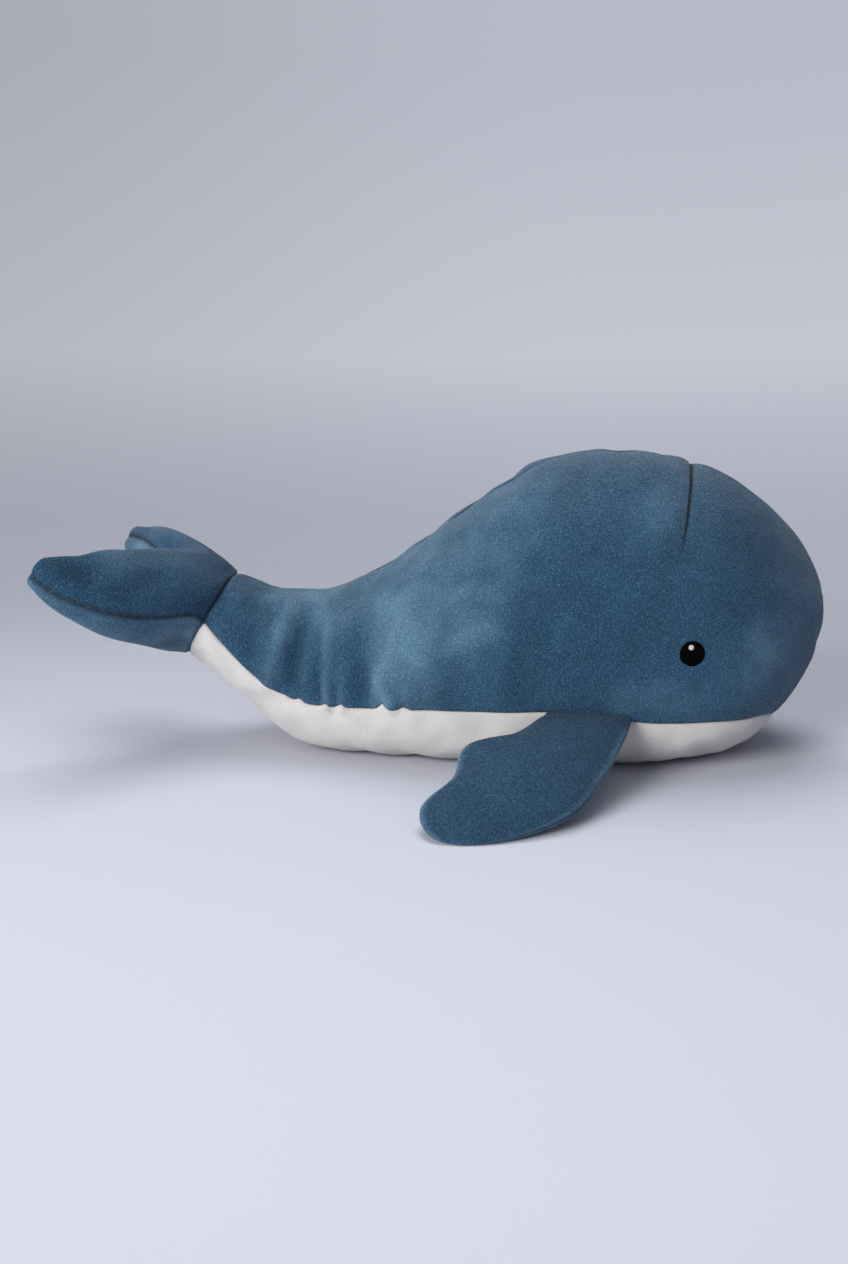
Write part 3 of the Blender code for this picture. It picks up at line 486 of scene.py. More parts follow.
def sew_panel(name, outer, inner, cells=None):
    """A closed piece of cloth: outer and inner sheet and the cut edge between them."""
    bm = bmesh.new()
    outside = grid_verts(bm, outer)
    inside = grid_verts(bm, inner)
    under = {}
    for above, below in zip(outside, inside):
        under.update(zip(above, below))
    grid_faces(bm, outside, cells)
    rim = [tuple(edge.verts) for edge in bm.edges if len(edge.link_faces) == 1]
    grid_faces(bm, inside, cells)
    for start, end in rim:
        corners = list(dict.fromkeys((start, end, under[end], under[start])))
        if len(corners) > 2:
            bm.faces.new(corners)
    bmesh.ops.remove_doubles(bm, verts=bm.verts, dist=MERGE)
    loose = [vert for vert in bm.verts if not vert.link_faces]
    bmesh.ops.delete(bm, geom=loose, context="VERTS")
    bmesh.ops.recalc_face_normals(bm, faces=bm.faces)
    if bm.calc_volume(signed=True) < 0.0:
        bmesh.ops.reverse_faces(bm, faces=bm.faces)
    return smooth_object(name, bm)


# %% Values painted on the points of a panel
def paint(piece, sheet, **painted):
    """Gives every point of a panel the values of the nearest point of its outer sheet."""
    tree = KDTree(sheet[..., 0].size)
    for index, point in enumerate(sheet.reshape(-1, 3)):
        tree.insert(point, index)
    tree.balance()
    nearest = [tree.find(vert.co)[1] for vert in piece.data.vertices]
    for name, values in painted.items():
        layer = piece.data.attributes.new(name, "FLOAT", "POINT")
        layer.data.foreach_set("value", values.reshape(-1)[nearest].tolist())


# %% [markdown]
# ## Filling the cloth
# Where stuffed cloth bulges between its seams is hard to guess, so each sheet is filled in
# Blender's cloth simulation: a coarse copy is held along its seams, a little larger than its
# form, and pressed outwards for twenty frames. What counts is the difference from the form
# around it, so the outline read from the photograph stays and only bulges and soft creases
# are added.

# %% Fill a coarse sheet and read how its cloth bulges
CLOTH_FRAMES = 20
CLOTH_PRESSURE = 4.0
CLOTH_SLACK = 0.02
CLOTH_BROAD = 14


def blurred(values, times):
    for _ in range(times):
        wide = np.pad(values, 1, mode="edge")
        beside = wide[:-2, 1:-1] + wide[2:, 1:-1] + wide[1:-1, :-2] + wide[1:-1, 2:]
        values = (beside + values) / 5.0
    return values


def filled_cloth(points, held, most):
    """How far cloth on a grid of points bulges beyond its broad form, at most most."""
    number = np.arange(held.size).reshape(held.shape)
    corners = np.stack([number[:-1, :-1], number[1:, :-1], number[1:, 1:], number[:-1, 1:]], -1)
    flat = points.reshape(-1, 3)
    mesh = bpy.data.meshes.new("trial_cloth")
    mesh.from_pydata(flat.tolist(), [], corners.reshape(-1, 4).tolist())
    outward = flat - flat.mean(0)
    if sum(vert.normal @ Vector(out) for vert, out in zip(mesh.vertices, outward)) < 0.0:
        mesh.flip_normals()
    normals = np.array([tuple(vert.normal) for vert in mesh.vertices])
    trial = link("trial_cloth", mesh)
    seams = trial.vertex_groups.new(name="seams")
    seams.add([int(index) for index in np.flatnonzero(held)], 1.0, "REPLACE")
    filling = trial.modifiers.new("filling", "CLOTH").settings
    filling.vertex_group_mass = "seams"
    filling.use_pressure = True
    filling.uniform_pressure_force = CLOTH_PRESSURE
    filling.shrink_min = -CLOTH_SLACK
    filling.effector_weights.gravity = 0.0
    for number in range(1, CLOTH_FRAMES + 1):
        bpy.context.scene.frame_set(number)
    filled = trial.evaluated_get(bpy.context.evaluated_depsgraph_get()).data
    moved = np.empty(3 * len(filled.vertices))
    filled.vertices.foreach_get("co", moved)
    bpy.data.objects.remove(trial)
    bpy.data.meshes.remove(mesh)
    bpy.context.scene.frame_set(1)
    rise = ((moved.reshape(-1, 3) - flat) * normals).sum(-1).reshape(held.shape)
    print("cloth rose", round(float(np.abs(rise).max()) / MM, 2), "mm")
    return np.clip(rise - blurred(rise, CLOTH_BROAD), -most, most)


def smooth_sample(grid, row, column):
    """A grid of values read between its points with a cubic B-spline."""
    total = np.zeros(np.broadcast(row, column).shape)
    for steps in np.ndindex(4, 4):
        weight = 1.0
        index = []
        for at, step, size in zip((row, column), np.array(steps) - 1, grid.shape):
            whole = np.clip(np.floor(at).astype(int), 0, size - 1)
            away = np.abs(at - whole - step)
            near = 2.0 / 3.0 - away**2 + 0.5 * away**3
            far = np.maximum(2.0 - away, 0.0) ** 3 / 6.0
            weight = weight * np.where(away < 1.0, near, far)
            index.append(np.clip(whole + step, 0, size - 1))
        total += weight * grid[index[0], index[1]]
    return total


# %% [markdown]
# ## The body's skin
# The blue upper is two panels joined along the back and under the chin. The cream belly
# panel is set in between them. Rows of points run round the body and are closer where a
# fold or a seam is narrow, so the dark line of a seam is real geometry.

# %% Rows and columns of points
def closer_near(start, end, count, places, width, gain):
    """count places from start to end, closer together near the given ones."""
    fine = np.linspace(start, end, 4000)
    weight = np.ones_like(fine)
    for place in places:
        weight += hill(fine - place, gain, width)
    total = np.concatenate([[0.0], np.cumsum(0.5 * (weight[1:] + weight[:-1]))])
    return np.interp(np.linspace(0.0, total[-1], count), total, fine)


FRONT_ROWS = 46
BACK_ROWS = 190
SIDE_COLUMNS = 108
BELLY_COLUMNS = 44
DART_REACH_STATIONS = 1.6
DART_FADE_DEG = 43.0

front_rows = closer_near(0.0, BELLY_CORNER_STATION, FRONT_ROWS, (BELLY_CORNER_STATION,), 0.12, 3.0)
back_rows = closer_near(BELLY_CORNER_STATION, LAST_STATION, BACK_ROWS,
                        (BELLY_CORNER_STATION, DART_TOP_STATION, LAST_STATION), 0.12, 4.0)
BODY_ROWS = np.concatenate([front_rows, back_rows[1:]])
BELLY_ROW = FRONT_ROWS - 1
side_shares = closer_near(0.0, 1.0, SIDE_COLUMNS, (0.0, 1.0), 0.03, 4.0)
belly_shares = closer_near(0.0, 1.0, BELLY_COLUMNS, (0.0,), 0.06, 4.0)[1:]
SEAM_COLUMN = SIDE_COLUMNS - 1
MIDDLE_COLUMN = SEAM_COLUMN + len(belly_shares)


def body_grid():
    """Stations and angles of half the body, from the back seam to the middle line below."""
    rows = BODY_ROWS[:, None]
    seam = seam_angle(np.maximum(rows, BELLY_CORNER_STATION))
    side_angles = 90.0 - side_shares[None, :] * (90.0 - seam)
    belly_angles = seam - belly_shares[None, :] * (90.0 + seam)
    angles = np.concatenate([side_angles, belly_angles], axis=1)
    before_belly = rows * front_station(angles) / BELLY_CORNER_STATION
    stations = np.where(rows > BELLY_CORNER_STATION, rows, before_belly)
    near = np.clip(1.0 - np.abs(stations - DART_TOP_STATION) / DART_REACH_STATIONS, 0.0, 1.0)
    down = (90.0 - angles) / DART_DEG
    back_up = 1.0 - (down - 1.0) * DART_DEG / DART_FADE_DEG
    lean = np.clip(np.minimum(down, back_up), 0.0, 1.0)
    moved = DART_LEAN_STATIONS * lean * 0.5 * (1.0 - np.cos(np.pi * near))
    return stations + moved, angles


def seam_path():
    front = range(MIDDLE_COLUMN, SEAM_COLUMN, -1)
    rows = [BELLY_ROW] * len(front) + list(range(BELLY_ROW, len(BODY_ROWS)))
    return np.array(rows), np.array(list(front) + [SEAM_COLUMN] * (len(BODY_ROWS) - BELLY_ROW))


# %% Fill the body's cloth
CLOTH_ROWS = 86
CLOTH_COLUMNS = 47
CLOTH_NOSE_STATION = 0.35
CLOTH_HELD = 2.6 * MM
CLOTH_ON_FLOOR = 1.0 * MM
CLOTH_WAVES = (30.0 * MM, 0.3 * MM)
BODY_BULGE = 1.6 * MM
stations, angles = body_grid()


def hold_rim(held):
    held[[0, -1]] = True
    held[:, [0, -1]] = True
    return held


def body_swelling(side):
    row = np.linspace(CLOTH_NOSE_STATION, LAST_STATION, CLOTH_ROWS)[:, None]
    column = np.linspace(90.0, -90.0, CLOTH_COLUMNS)[None, :]
    row, column = (np.array(part) for part in np.broadcast_arrays(row, column))
    base = smooth_body(row, column, side)
    waves = soft_waves(base, *CLOTH_WAVES, 11 if side < 0 else 12)
    base += body_normal(row, column, side) * waves[..., None]
    held = hold_rim(base[..., 2] < CLOTH_ON_FLOOR)
    for distance, strength in body_seams(row, column):
        held |= (distance < CLOTH_HELD) & (strength > 0.0)
    bulge = filled_cloth(base, held, BODY_BULGE)
    at_row = (stations - CLOTH_NOSE_STATION) / (LAST_STATION - CLOTH_NOSE_STATION) * (CLOTH_ROWS - 1)
    at_column = (90.0 - angles) / 180.0 * (CLOTH_COLUMNS - 1)
    return smooth_sample(bulge, np.clip(at_row, 0.0, CLOTH_ROWS - 1.0), at_column)


swelling = {side: body_swelling(side) for side in (-1.0, 1.0)}

# %% Cut and sew the two blue sides and the cream belly
SEAM_GAP = 0.1 * MM
path = seam_path()


def body_sheets(side, apart):
    """Outer and inner sheet of half the body, moved half a gap away from the belly seam:
    apart is +1 for the blue cloth and -1 for the cream."""
    outer = sewn_body(stations, angles, side, swelling[side])
    normals = body_normal(stations, angles, side)
    run = np.gradient(outer[path], axis=0)
    run[0] = (0.0, side, 0.0)
    outer[path] += apart * unit(np.cross(normals[path], run) * side) * 0.5 * SEAM_GAP
    return outer, outer - normals * FABRIC


def make_side(name, side):
    sheets = body_sheets(side, 1.0)
    for sheet in sheets:
        sheet[..., 1] = side * np.maximum(side * sheet[..., 1], 0.5 * SEAM_GAP)
    cells = np.ones((len(BODY_ROWS) - 1, MIDDLE_COLUMN), bool)
    cells[BELLY_ROW:, SEAM_COLUMN:] = False
    piece = sew_panel(name, *sheets, cells)
    paint(piece, sheets[0], groove=seam_shade(stations, angles), nap=brushed_and_painted_light(sheets[0]))
    return piece


def across_belly(right, left):
    """The belly's part of two half grids, joined along the middle line."""
    right, left = right[BELLY_ROW:, SEAM_COLUMN:], left[BELLY_ROW:, SEAM_COLUMN:]
    return np.concatenate([right, left[:, -2::-1]], axis=1)


def make_belly(name):
    sheets = [across_belly(*halves)
              for halves in zip(body_sheets(-1.0, -1.0), body_sheets(1.0, -1.0))]
    for sheet in sheets:
        sheet[:, MIDDLE_COLUMN - SEAM_COLUMN, 1] = 0.0
    piece = sew_panel(name, *sheets)
    shade = seam_shade(stations, angles)
    paint(piece, sheets[0], groove=across_belly(shade, shade))
    return piece


right_side = make_side("whale_right_side", -1.0)
left_side = make_side("whale_left_side", 1.0)
belly = make_belly("whale_belly")
for piece in (right_side, left_side, belly):
    print(piece.name, len(piece.data.polygons), "faces")

# %% [markdown]
# ## The fluke
# The fluke is two panels sewn together round their edge and stuffed. Its middle sheet is a
# curved surface from the tail's oval seam to the back edge, and the panels lie a stuffed
# thickness above and below it. Its round neck sits in the end of the tail.

# %% Sizes of the fluke, in the tail seam's own frame
FLUKE_TIP = mm(117.5, 94.0, -17.0)
FLUKE_NOTCH = mm(33.5, 0.0, 7.5)
FLUKE_BACK_EDGE = mm(61.0, 48.7, -2.0)
FLUKE_FRONT_EDGE = mm(32.3, 62.5, -22.7)
FLUKE_MIDDLE = mm(19.0, 0.0, -0.5)
FLUKE_FLARE = 0.8 * MM
FLUKE_FLARE_SHARE = 0.30
FLUKE_MIDDLE_ROUND = 0.2
FLUKE_NOTCH_ROUND = 0.12
FLUKE_LEFT_SHORTER = 8.0 * MM
FLUKE_LEFT_HIGHER = 6.8 * MM
FLUKE_LEFT_SHARE = 0.45
FLUKE_SHOULDER = 5.0 * MM
FLUKE_SHOULDER_TIME = 0.10
FLUKE_CORNER_SHARE = 0.17
FLUKE_CORNER_POWER = 4

TAIL_MIDDLE = 0.5 * (tail_back + tail_belly) + SHIFT
TAIL_UP = unit(tail_back - tail_belly)
TAIL_ALONG = np.array([-TAIL_UP[2], 0.0, TAIL_UP[0]])
NECK_PLAY = 0.2 * MM
NECK_HIGH = 0.5 * np.linalg.norm(tail_back - tail_belly) - NECK_PLAY
NECK_WIDE = 0.5 * BODY_WIDTH * STATION_SHARES[-1][4] - NECK_PLAY


def in_tail_frame(points):
    placed = TAIL_MIDDLE + points[..., :1] * TAIL_ALONG + points[..., 2:] * TAIL_UP
    placed[..., 1] = points[..., 1]
    return placed


def bezier(start, control, end, share):
    share = np.asarray(share)[..., None]
    return (1.0 - share) ** 2 * start + 2.0 * share * (1.0 - share) * control + share**2 * end


def fluke_sheet(share, time):
    """The fluke's middle sheet: share runs across it, time from its neck to its back edge."""
    far = np.abs(share)
    share = share * (1.0 - FLUKE_CORNER_SHARE * time**FLUKE_CORNER_POWER)
    time = time * (1.0 - FLUKE_CORNER_SHARE * far**FLUKE_CORNER_POWER)
    far = np.abs(share)
    start = np.zeros(np.shape(share) + (3,))
    start[..., 1] = share * NECK_WIDE
    control = FLUKE_MIDDLE + (FLUKE_FRONT_EDGE - FLUKE_MIDDLE) * (far**2)[..., None]
    control[..., 1] = share * FLUKE_FRONT_EDGE[1]
    back_edge = (FLUKE_NOTCH, FLUKE_BACK_EDGE, FLUKE_TIP)
    end = bezier(*back_edge, far)
    for axis, soft in ((0, FLUKE_NOTCH_ROUND), (2, FLUKE_MIDDLE_ROUND)):
        end[..., axis] = bezier(*back_edge, far * (1.0 - np.exp(-far / soft)))[..., axis]
    end[..., 1] *= np.sign(share)
    left = smooth_step(share / FLUKE_LEFT_SHARE)
    end[..., 0] -= FLUKE_LEFT_SHORTER * left * far**2
    end[..., 2] += FLUKE_LEFT_HIGHER * left
    control[..., 2] += 0.5 * FLUKE_LEFT_HIGHER * left
    sheet = bezier(start, control, end, time)
    early = time / FLUKE_SHOULDER_TIME
    sheet[..., 2] += FLUKE_SHOULDER * far**2 * early * np.exp(1.0 - early)
    return sheet


# %% How thick the fluke is
FLUKE_EDGE_HALF = 10.0 * MM
FLUKE_EDGE_REACH = 5.5 * MM
FLUKE_TOP_FILL = 0.60
FLUKE_TOP_TIP_FILL = 0.68
FLUKE_UNDER_FILL = 0.70
FLUKE_UNDER_TIP_FILL = -0.10
FLUKE_SEAM_TUCK = 1.5 * MM
FLUKE_SEAM_WIDTH = 1.7 * MM
FLUKE_TAPER_POWER = 3.3
FLUKE_EDGE_POWER = 0.78
FLUKE_CLOSED = 0.03 * MM
NECK_UNDER = 1.9 * MM
NECK_SWING = math.radians(19.0)
FLUKE_COLUMNS = 150
NECK_ROWS = 22
FLUKE_ROWS = 88
fluke_times = 1.0 - (1.0 - closer_near(0.0, 1.0, FLUKE_ROWS, (0.0,), 0.025, 2.0)) ** 1.35


def round_columns(count):
    """Places from -1 to 1 that lie closer at both ends, and the height of a circle there."""
    turns = np.linspace(-0.5 * math.pi, 0.5 * math.pi, count + 1)
    return np.sin(turns), np.maximum(np.cos(turns), 0.0)


def fluke_fill(far, facing):
    """How full a panel is along its edge: the upper one is fullest at the lobe's tip."""
    if facing > 0.0:
        return FLUKE_TOP_FILL + FLUKE_TOP_TIP_FILL * far**4
    return FLUKE_UNDER_FILL + FLUKE_UNDER_TIP_FILL * far**5


def fluke_grid(inset, facing):
    """Middle points and half heights of one panel, drawn in by inset all round."""
    across, rounding = round_columns(FLUKE_COLUMNS)
    sheets = []
    halves = []
    for turn in np.linspace(-1.25 * NECK_SWING, 0.0, NECK_ROWS)[:-1]:
        row = np.zeros((len(across), 3))
        tuck = inset + TAIL_SEAM * hill(NECK_HIGH * turn, SEAM_DEPTH, SEAM_WIDTH)
        tuck += NECK_UNDER * float(smooth_step(-turn * NECK_HIGH / NECK_UNDER))
        narrow = math.cos(turn)
        row[:, 0] = NECK_HIGH * math.sin(turn)
        row[:, 1] = across * (NECK_WIDE * narrow - tuck)
        sheets.append(row)
        halves.append(rounding * (NECK_HIGH * narrow - tuck))
    run = np.linalg.norm(fluke_sheet(across, np.ones_like(across))
                         - fluke_sheet(across, np.zeros_like(across)), axis=-1)
    for time in fluke_times:
        times = np.full_like(across, time)
        edges = fluke_sheet(np.array([0.0, 1.0]), times[:2])
        half_span = np.linalg.norm(edges[1] - edges[0])
        flare = float(smooth_step(time / FLUKE_FLARE_SHARE))
        ring_tuck = TAIL_SEAM * hill(time * run[len(run) // 2], SEAM_DEPTH, SEAM_WIDTH)
        full = NECK_HIGH + FLUKE_FLARE * flare - ring_tuck
        thin = math.sqrt(max(0.0, 1.0 - time**FLUKE_TAPER_POWER))
        half = rounding ** (1.0 + (FLUKE_EDGE_POWER - 1.0) * flare) * full * thin
        to_side = (1.0 - np.abs(across)) * half_span
        to_back = (1.0 - time) * run
        nearest = ((to_side + TINY) ** -4 + (to_back + TINY) ** -4) ** -0.25
        inward = 1.0 - np.clip(nearest / FLUKE_EDGE_REACH, 0.0, 1.0)
        plump = FLUKE_EDGE_HALF * np.sqrt(1.0 - inward**2) * flare
        plump = plump * fluke_fill(np.abs(across), facing)
        half = (half**8 + plump**8 + TINY**4) ** 0.125
        tuck = hill(half, FLUKE_SEAM_TUCK, FLUKE_SEAM_WIDTH) * flare
        share = across * np.maximum(0.0, 1.0 - (inset + tuck + ring_tuck) / half_span)
        sheets.append(fluke_sheet(share, times * (1.0 - (inset + tuck) / run)))
        halves.append(np.maximum(half - inset, 0.0) * (half > FLUKE_CLOSED))
    return np.array(sheets), np.array(halves)


# %% Sew the fluke
def pillow_side(grid, facing):
    """Points of one panel of a pillow whose middle sheet and half heights are given."""
    middle, half = grid
    points = middle.copy()
    points[..., 2] += facing * (half + 0.5 * SEAM_GAP)
    return points, half


def sheet_swelling(placed, step, most):
    """The bulges of one panel's cloth, held all round and filled on every step-th point."""
    rows, columns = placed.shape[:2]
    first = NECK_ROWS - 1 if rows > FLUKE_ROWS else 0
    row_places = np.linspace(first, rows - 1, (rows - first) // step)
    column_places = np.linspace(0, columns - 1, columns // step)
    picked = placed[np.round(row_places).astype(int)][:, np.round(column_places).astype(int)]
    bulge = filled_cloth(picked, hold_rim(np.zeros(picked.shape[:2], bool)), most)
    at_row = (np.arange(rows) - first) / (rows - 1 - first) * (len(row_places) - 1)
    at_column = np.arange(columns) / (columns - 1) * (len(column_places) - 1)
    known = smooth_sample(bulge, np.maximum(at_row, 0.0)[:, None], at_column[None, :])
    return known * (at_row >= 0.0)[:, None]


FLUKE_CLOTH_STEP = 4
FLUKE_BULGE = 1.2 * MM
FLUKE_WAVES = (38.0 * MM, 0.7 * MM)
FLUKE_STIFF_EDGE = 6.0 * MM
FLUKE_EDGE_SHADE = 1.5 * MM
# Painted light and shade of the fluke: folds and dimples lighter on their ridges and darker in their hollows; the
# top panel a little darker against its pile, the underside painted lighter where it catches light from below.
FLUKE_FOLD_SHADE = {1.0: 0.09, -1.0: 0.18}
FLUKE_SHADE = {1.0: -0.10, -1.0: 0.42}
# Folds below: start and end of each line, its height and its width, in mm.
FLUKE_UNDER_FOLDS = (
    ((-136.0, -34.5, 68.0), (-157.5, -42.0, 61.0), 2.0, 3.0),
    ((-135.0, -27.0, 61.5), (-153.0, -36.0, 58.0), -1.6, 3.4),
)
# Dimples on top: a point, how deep and how wide, in mm.
FLUKE_DIMPLES = (
    ((-177.5, -55.0, 104.0), 1.9, 9.0),
    ((-146.0, -57.0, 90.0), 1.5, 8.0),
    ((-146.0, 57.0, 94.0), 1.2, 8.0),
)
# Painted highlights on the lobes, on the top panel's upper part and along a fold ridge below: a point, how far it
# reaches, and the shade.
FLUKE_PAINTED_HIGHLIGHTS = (
    ((-160.0, -48.0, 108.5), 12.0, 0.34),
    ((-140.0, -42.0, 105.0), 12.0, 0.30),
    ((-182.0, -74.0, 108.0), 9.0, 0.20),
    ((-138.0, -30.0, 66.0), 10.0, 0.25),
)


def fluke_creases(placed, facing):
    """How far waves, dimples and folds raise or lower points of one panel."""
    rise = soft_waves(placed, *FLUKE_WAVES, 21 if facing > 0 else 22)
    if facing > 0.0:
        for at, depth, width in FLUKE_DIMPLES:
            rise -= hill_at(placed, mm(*at), depth * MM, width * MM)
        return rise
    for start, end, height, width in FLUKE_UNDER_FOLDS:
        for side in (1.0, -1.0):
            near, share = distance_to_line(placed * (1.0, side, 1.0), mm(*start), mm(*end))
            window = np.clip(5.0 * share * (1.0 - share), 0.0, 1.0)
            rise += hill(near, height * MM, width * MM) * window
    return rise


def make_fluke_panel(name, facing):
    points, half = pillow_side(fluke_grid(0.0, facing), facing)
    outer = in_tail_frame(points)
    rise = fluke_creases(outer, facing) + sheet_swelling(outer, FLUKE_CLOTH_STEP, FLUKE_BULGE)
    rise = rise * smooth_step(half / FLUKE_STIFF_EDGE)
    outer = outer + facing * rise[..., None] * TAIL_UP
    inner = in_tail_frame(pillow_side(fluke_grid(FABRIC, facing), facing)[0])
    piece = sew_panel(name, outer, inner)
    ring = hill((outer - TAIL_MIDDLE) @ TAIL_ALONG, TAIL_SEAM, 0.7 * SHADE_WIDTH)
    groove = np.clip(hill(half, 1.0, FLUKE_EDGE_SHADE) + ring, 0.0, 1.0)
    # Painted light and shade of this panel, from its tone, its own folds and the highlights above.
    nap = FLUKE_SHADE[facing] + FLUKE_FOLD_SHADE[facing] * rise / MM
    for at, reach, amount in FLUKE_PAINTED_HIGHLIGHTS:
        for side in (-1.0, 1.0):
            nap += hill_at(outer * (1.0, side, 1.0), mm(*at), amount, reach * MM)
    paint(piece, outer, groove=groove, nap=nap)
    return piece


fluke_top = make_fluke_panel("fluke_top", 1.0)
fluke_under = make_fluke_panel("fluke_underside", -1.0)
print("fluke", len(fluke_top.data.polygons) + len(fluke_under.data.polygons), "faces")

# %% [markdown]
# ## The fins
# Each fin is a thin stuffed pillow, sewn into the belly seam at its root and bent down so
# that its tip lies on the floor. Its outline is a table read from the photograph, and its
# thickness swells in the middle and closes at the edge, where the two panels meet in a
# seam.

# %% Sizes of a fin
FIN_LENGTH = 92.0 * MM
FIN_ROOT_CHORD = 45.0 * MM
FIN_THICKNESS = 14.0 * MM
FIN_ROOT_RADIUS = 1.8 * MM
FIN_ROOT_SPREAD = 2.5 * MM
FIN_SWELL_POWER = 0.8
FIN_TIP_POWER = 8
FIN_FLOOR_GAP = 0.2 * MM
# How far out a row lies, and its rear and front edge, as shares of the fin's length.
FIN_OUTLINE_SHARES = (
    (0.000, 0.000, 0.470),
    (0.118, -0.089, 0.430),
    (0.212, -0.188, 0.392),
    (0.258, -0.313, 0.374),
    (0.312, -0.400, 0.353),
    (0.418, -0.433, 0.308),
    (0.543, -0.449, 0.243),
    (0.647, -0.517, 0.192),
    (0.762, -0.590, 0.109),
    (0.866, -0.588, -0.026),
    (0.945, -0.548, -0.172),
    (0.987, -0.485, -0.292),
    (1.000, -0.386, -0.386),
)
FIN_OUT, FIN_REAR, FIN_FRONT = (spline(column) for column in zip(*FIN_OUTLINE_SHARES))
FIN_LAST = len(FIN_OUTLINE_SHARES) - 1
FIN_ROWS = 90
FIN_COLUMNS = 60
FIN_TUCK = 5.0 * MM
FIN_SEAM_TUCK = 0.8 * MM
FIN_SEAM_WIDTH = 0.9 * MM


def fin_grid(inset):
    """Rows from inside the seam to the tip: forward, outward and up, and half heights."""
    share, round_off = round_columns(FIN_COLUMNS)
    sheets = []
    halves = []
    outside = FIN_LAST * (1.0 - (1.0 - np.linspace(0, 1, FIN_ROWS)) ** 1.5)
    for row in np.concatenate([np.linspace(-1.0, -0.1, 8), outside]):
        inside = max(0.0, -row)
        place = max(0.0, row)
        rear = float(FIN_REAR(place)) * FIN_LENGTH + inside * FIN_ROOT_SPREAD
        front = float(FIN_FRONT(place)) * FIN_LENGTH - inside * FIN_ROOT_SPREAD
        reach = float(FIN_OUT(place))
        swell = math.sin(math.pi * reach**FIN_SWELL_POWER) ** FIN_SWELL_POWER
        close = math.sqrt(max(0.0, 1.0 - reach**FIN_TIP_POWER))
        half = (FIN_ROOT_RADIUS + (0.5 * FIN_THICKNESS - FIN_ROOT_RADIUS) * swell) * close
        half = round_off**0.8 * half * (1.0 - 0.6 * inside)
        tuck = inset + hill(half, FIN_SEAM_TUCK, FIN_SEAM_WIDTH)
        forward = 0.5 * (front + rear) + share * np.maximum(0.0, 0.5 * (front - rear) - tuck)
        out = reach * (FIN_LENGTH - tuck) - inside * FIN_TUCK
        sheets.append(np.stack([forward, out, np.zeros_like(share)], -1))
        halves.append(np.maximum(half - inset, 0.0))
    return np.array(sheets), np.array(halves)


# %% Where a fin lies
def fin_places(label, side):
    """The fin's hinge line and droop, from the frame's joint and the fin's own underside."""
    joint = frame_joint(f"fin_{label}_flap")
    forward = np.array(joint["axis"], float) * side
    outward = np.array([0.0, side, 0.0])
    outward = unit(outward - forward * (outward @ forward))
    hinge = np.array(joint["pos_m"], float) - forward * 0.5 * FIN_ROOT_CHORD
    up = np.cross(forward, outward)
    up = up if up[2] > 0.0 else -up

    def place(points, droop):
        out = outward * math.cos(droop) - up * math.sin(droop)
        rise = up * math.cos(droop) + outward * math.sin(droop)
        return hinge + points[..., :1] * forward + points[..., 1:2] * out + points[..., 2:] * rise

    under, half = fin_grid(0.0)
    under[..., 2] -= half
    low, high = 0.0, math.radians(60.0)
    for _ in range(40):
        droop = 0.5 * (low + high)
        clear = place(under, droop)[..., 2].min() > FIN_FLOOR_GAP
        low, high = (droop, high) if clear else (low, droop)
    return lambda points: place(points, low)


# %% Sew the fins
FIN_CLOTH_STEP = 3
FIN_BULGE = 0.5 * MM
FIN_STIFF_EDGE = 3.0 * MM
FIN_EDGE_SHADE = 0.6
FIN_EDGE_SHADE_WIDTH = 0.6 * MM
FIN_TOP_SHADE = -0.26
FIN_RIM_SHADE = 0.7
FIN_RIM_WIDTH = 1.8 * MM
FIN_RIM_FROM = 6.0 * MM
FIN_RIM_FADE = 10.0 * MM


def fin_nap(points, facing):
    """The top of a fin is darkened as painted shade, and its rim gets a painted highlight."""
    forward, out = points[..., 0], points[..., 1]
    to_rim = np.minimum(forward - forward.min(1, keepdims=True),
                        forward.max(1, keepdims=True) - forward)
    to_rim = np.minimum(to_rim, FIN_LENGTH - out)
    beyond_root = smooth_step((out - FIN_RIM_FROM) / FIN_RIM_FADE)
    return FIN_TOP_SHADE * (facing > 0.0) + hill(to_rim, FIN_RIM_SHADE, FIN_RIM_WIDTH) * beyond_root


def make_fin_panel(name, place, facing):
    outer, half = pillow_side(fin_grid(0.0), facing)
    inner = pillow_side(fin_grid(FABRIC), facing)[0]
    groove = hill(half, FIN_EDGE_SHADE, FIN_EDGE_SHADE_WIDTH)
    nap = fin_nap(outer, facing)
    rise = sheet_swelling(place(outer), FIN_CLOTH_STEP, FIN_BULGE)
    rise = rise * smooth_step(half / FIN_STIFF_EDGE)
    for sheet in (outer, inner):
        sheet[..., 2] += facing * rise
    piece = sew_panel(name, place(outer), place(inner))
    paint(piece, place(outer), groove=groove, nap=nap)
    return piece


fins = {}
for label, side in (("right", -1.0), ("left", 1.0)):
    place = fin_places(label, side)
    fins[label] = (make_fin_panel(f"fin_{label}_top", place, 1.0),
                   make_fin_panel(f"fin_{label}_underside", place, -1.0))
    print("fin", label, [len(piece.data.polygons) for piece in fins[label]], "faces")

# %% [markdown]
# ## The eyes
# The eye is satin stitch: black thread laid side by side until it stands up as a small
# dome, with a few white stitches for the glint. Each thread is a line laid over the dome,
# and one Geometry Nodes tree turns such lines into thread, so the eye, the glint and every
# later stitch share it.

# %% Helpers for node trees
def feed(tree, node, inputs):
    """Gives each input a plain value, or links it to a socket or to a node's first output."""
    for key, source in inputs.items():
        if isinstance(source, bpy.types.Node):
            source = next(output for output in source.outputs if output.enabled)
        if isinstance(source, bpy.types.NodeSocket):
            tree.links.new(source, node.inputs[key])
        else:
            node.inputs[key].default_value = source


def add_node(tree, kind, inputs=None, **settings):
    """A new node: its settings first, then what its inputs take."""
    made = tree.nodes.new(kind)
    for key, value in settings.items():
        setattr(made, key, value)
    feed(tree, made, inputs or {})
    return made


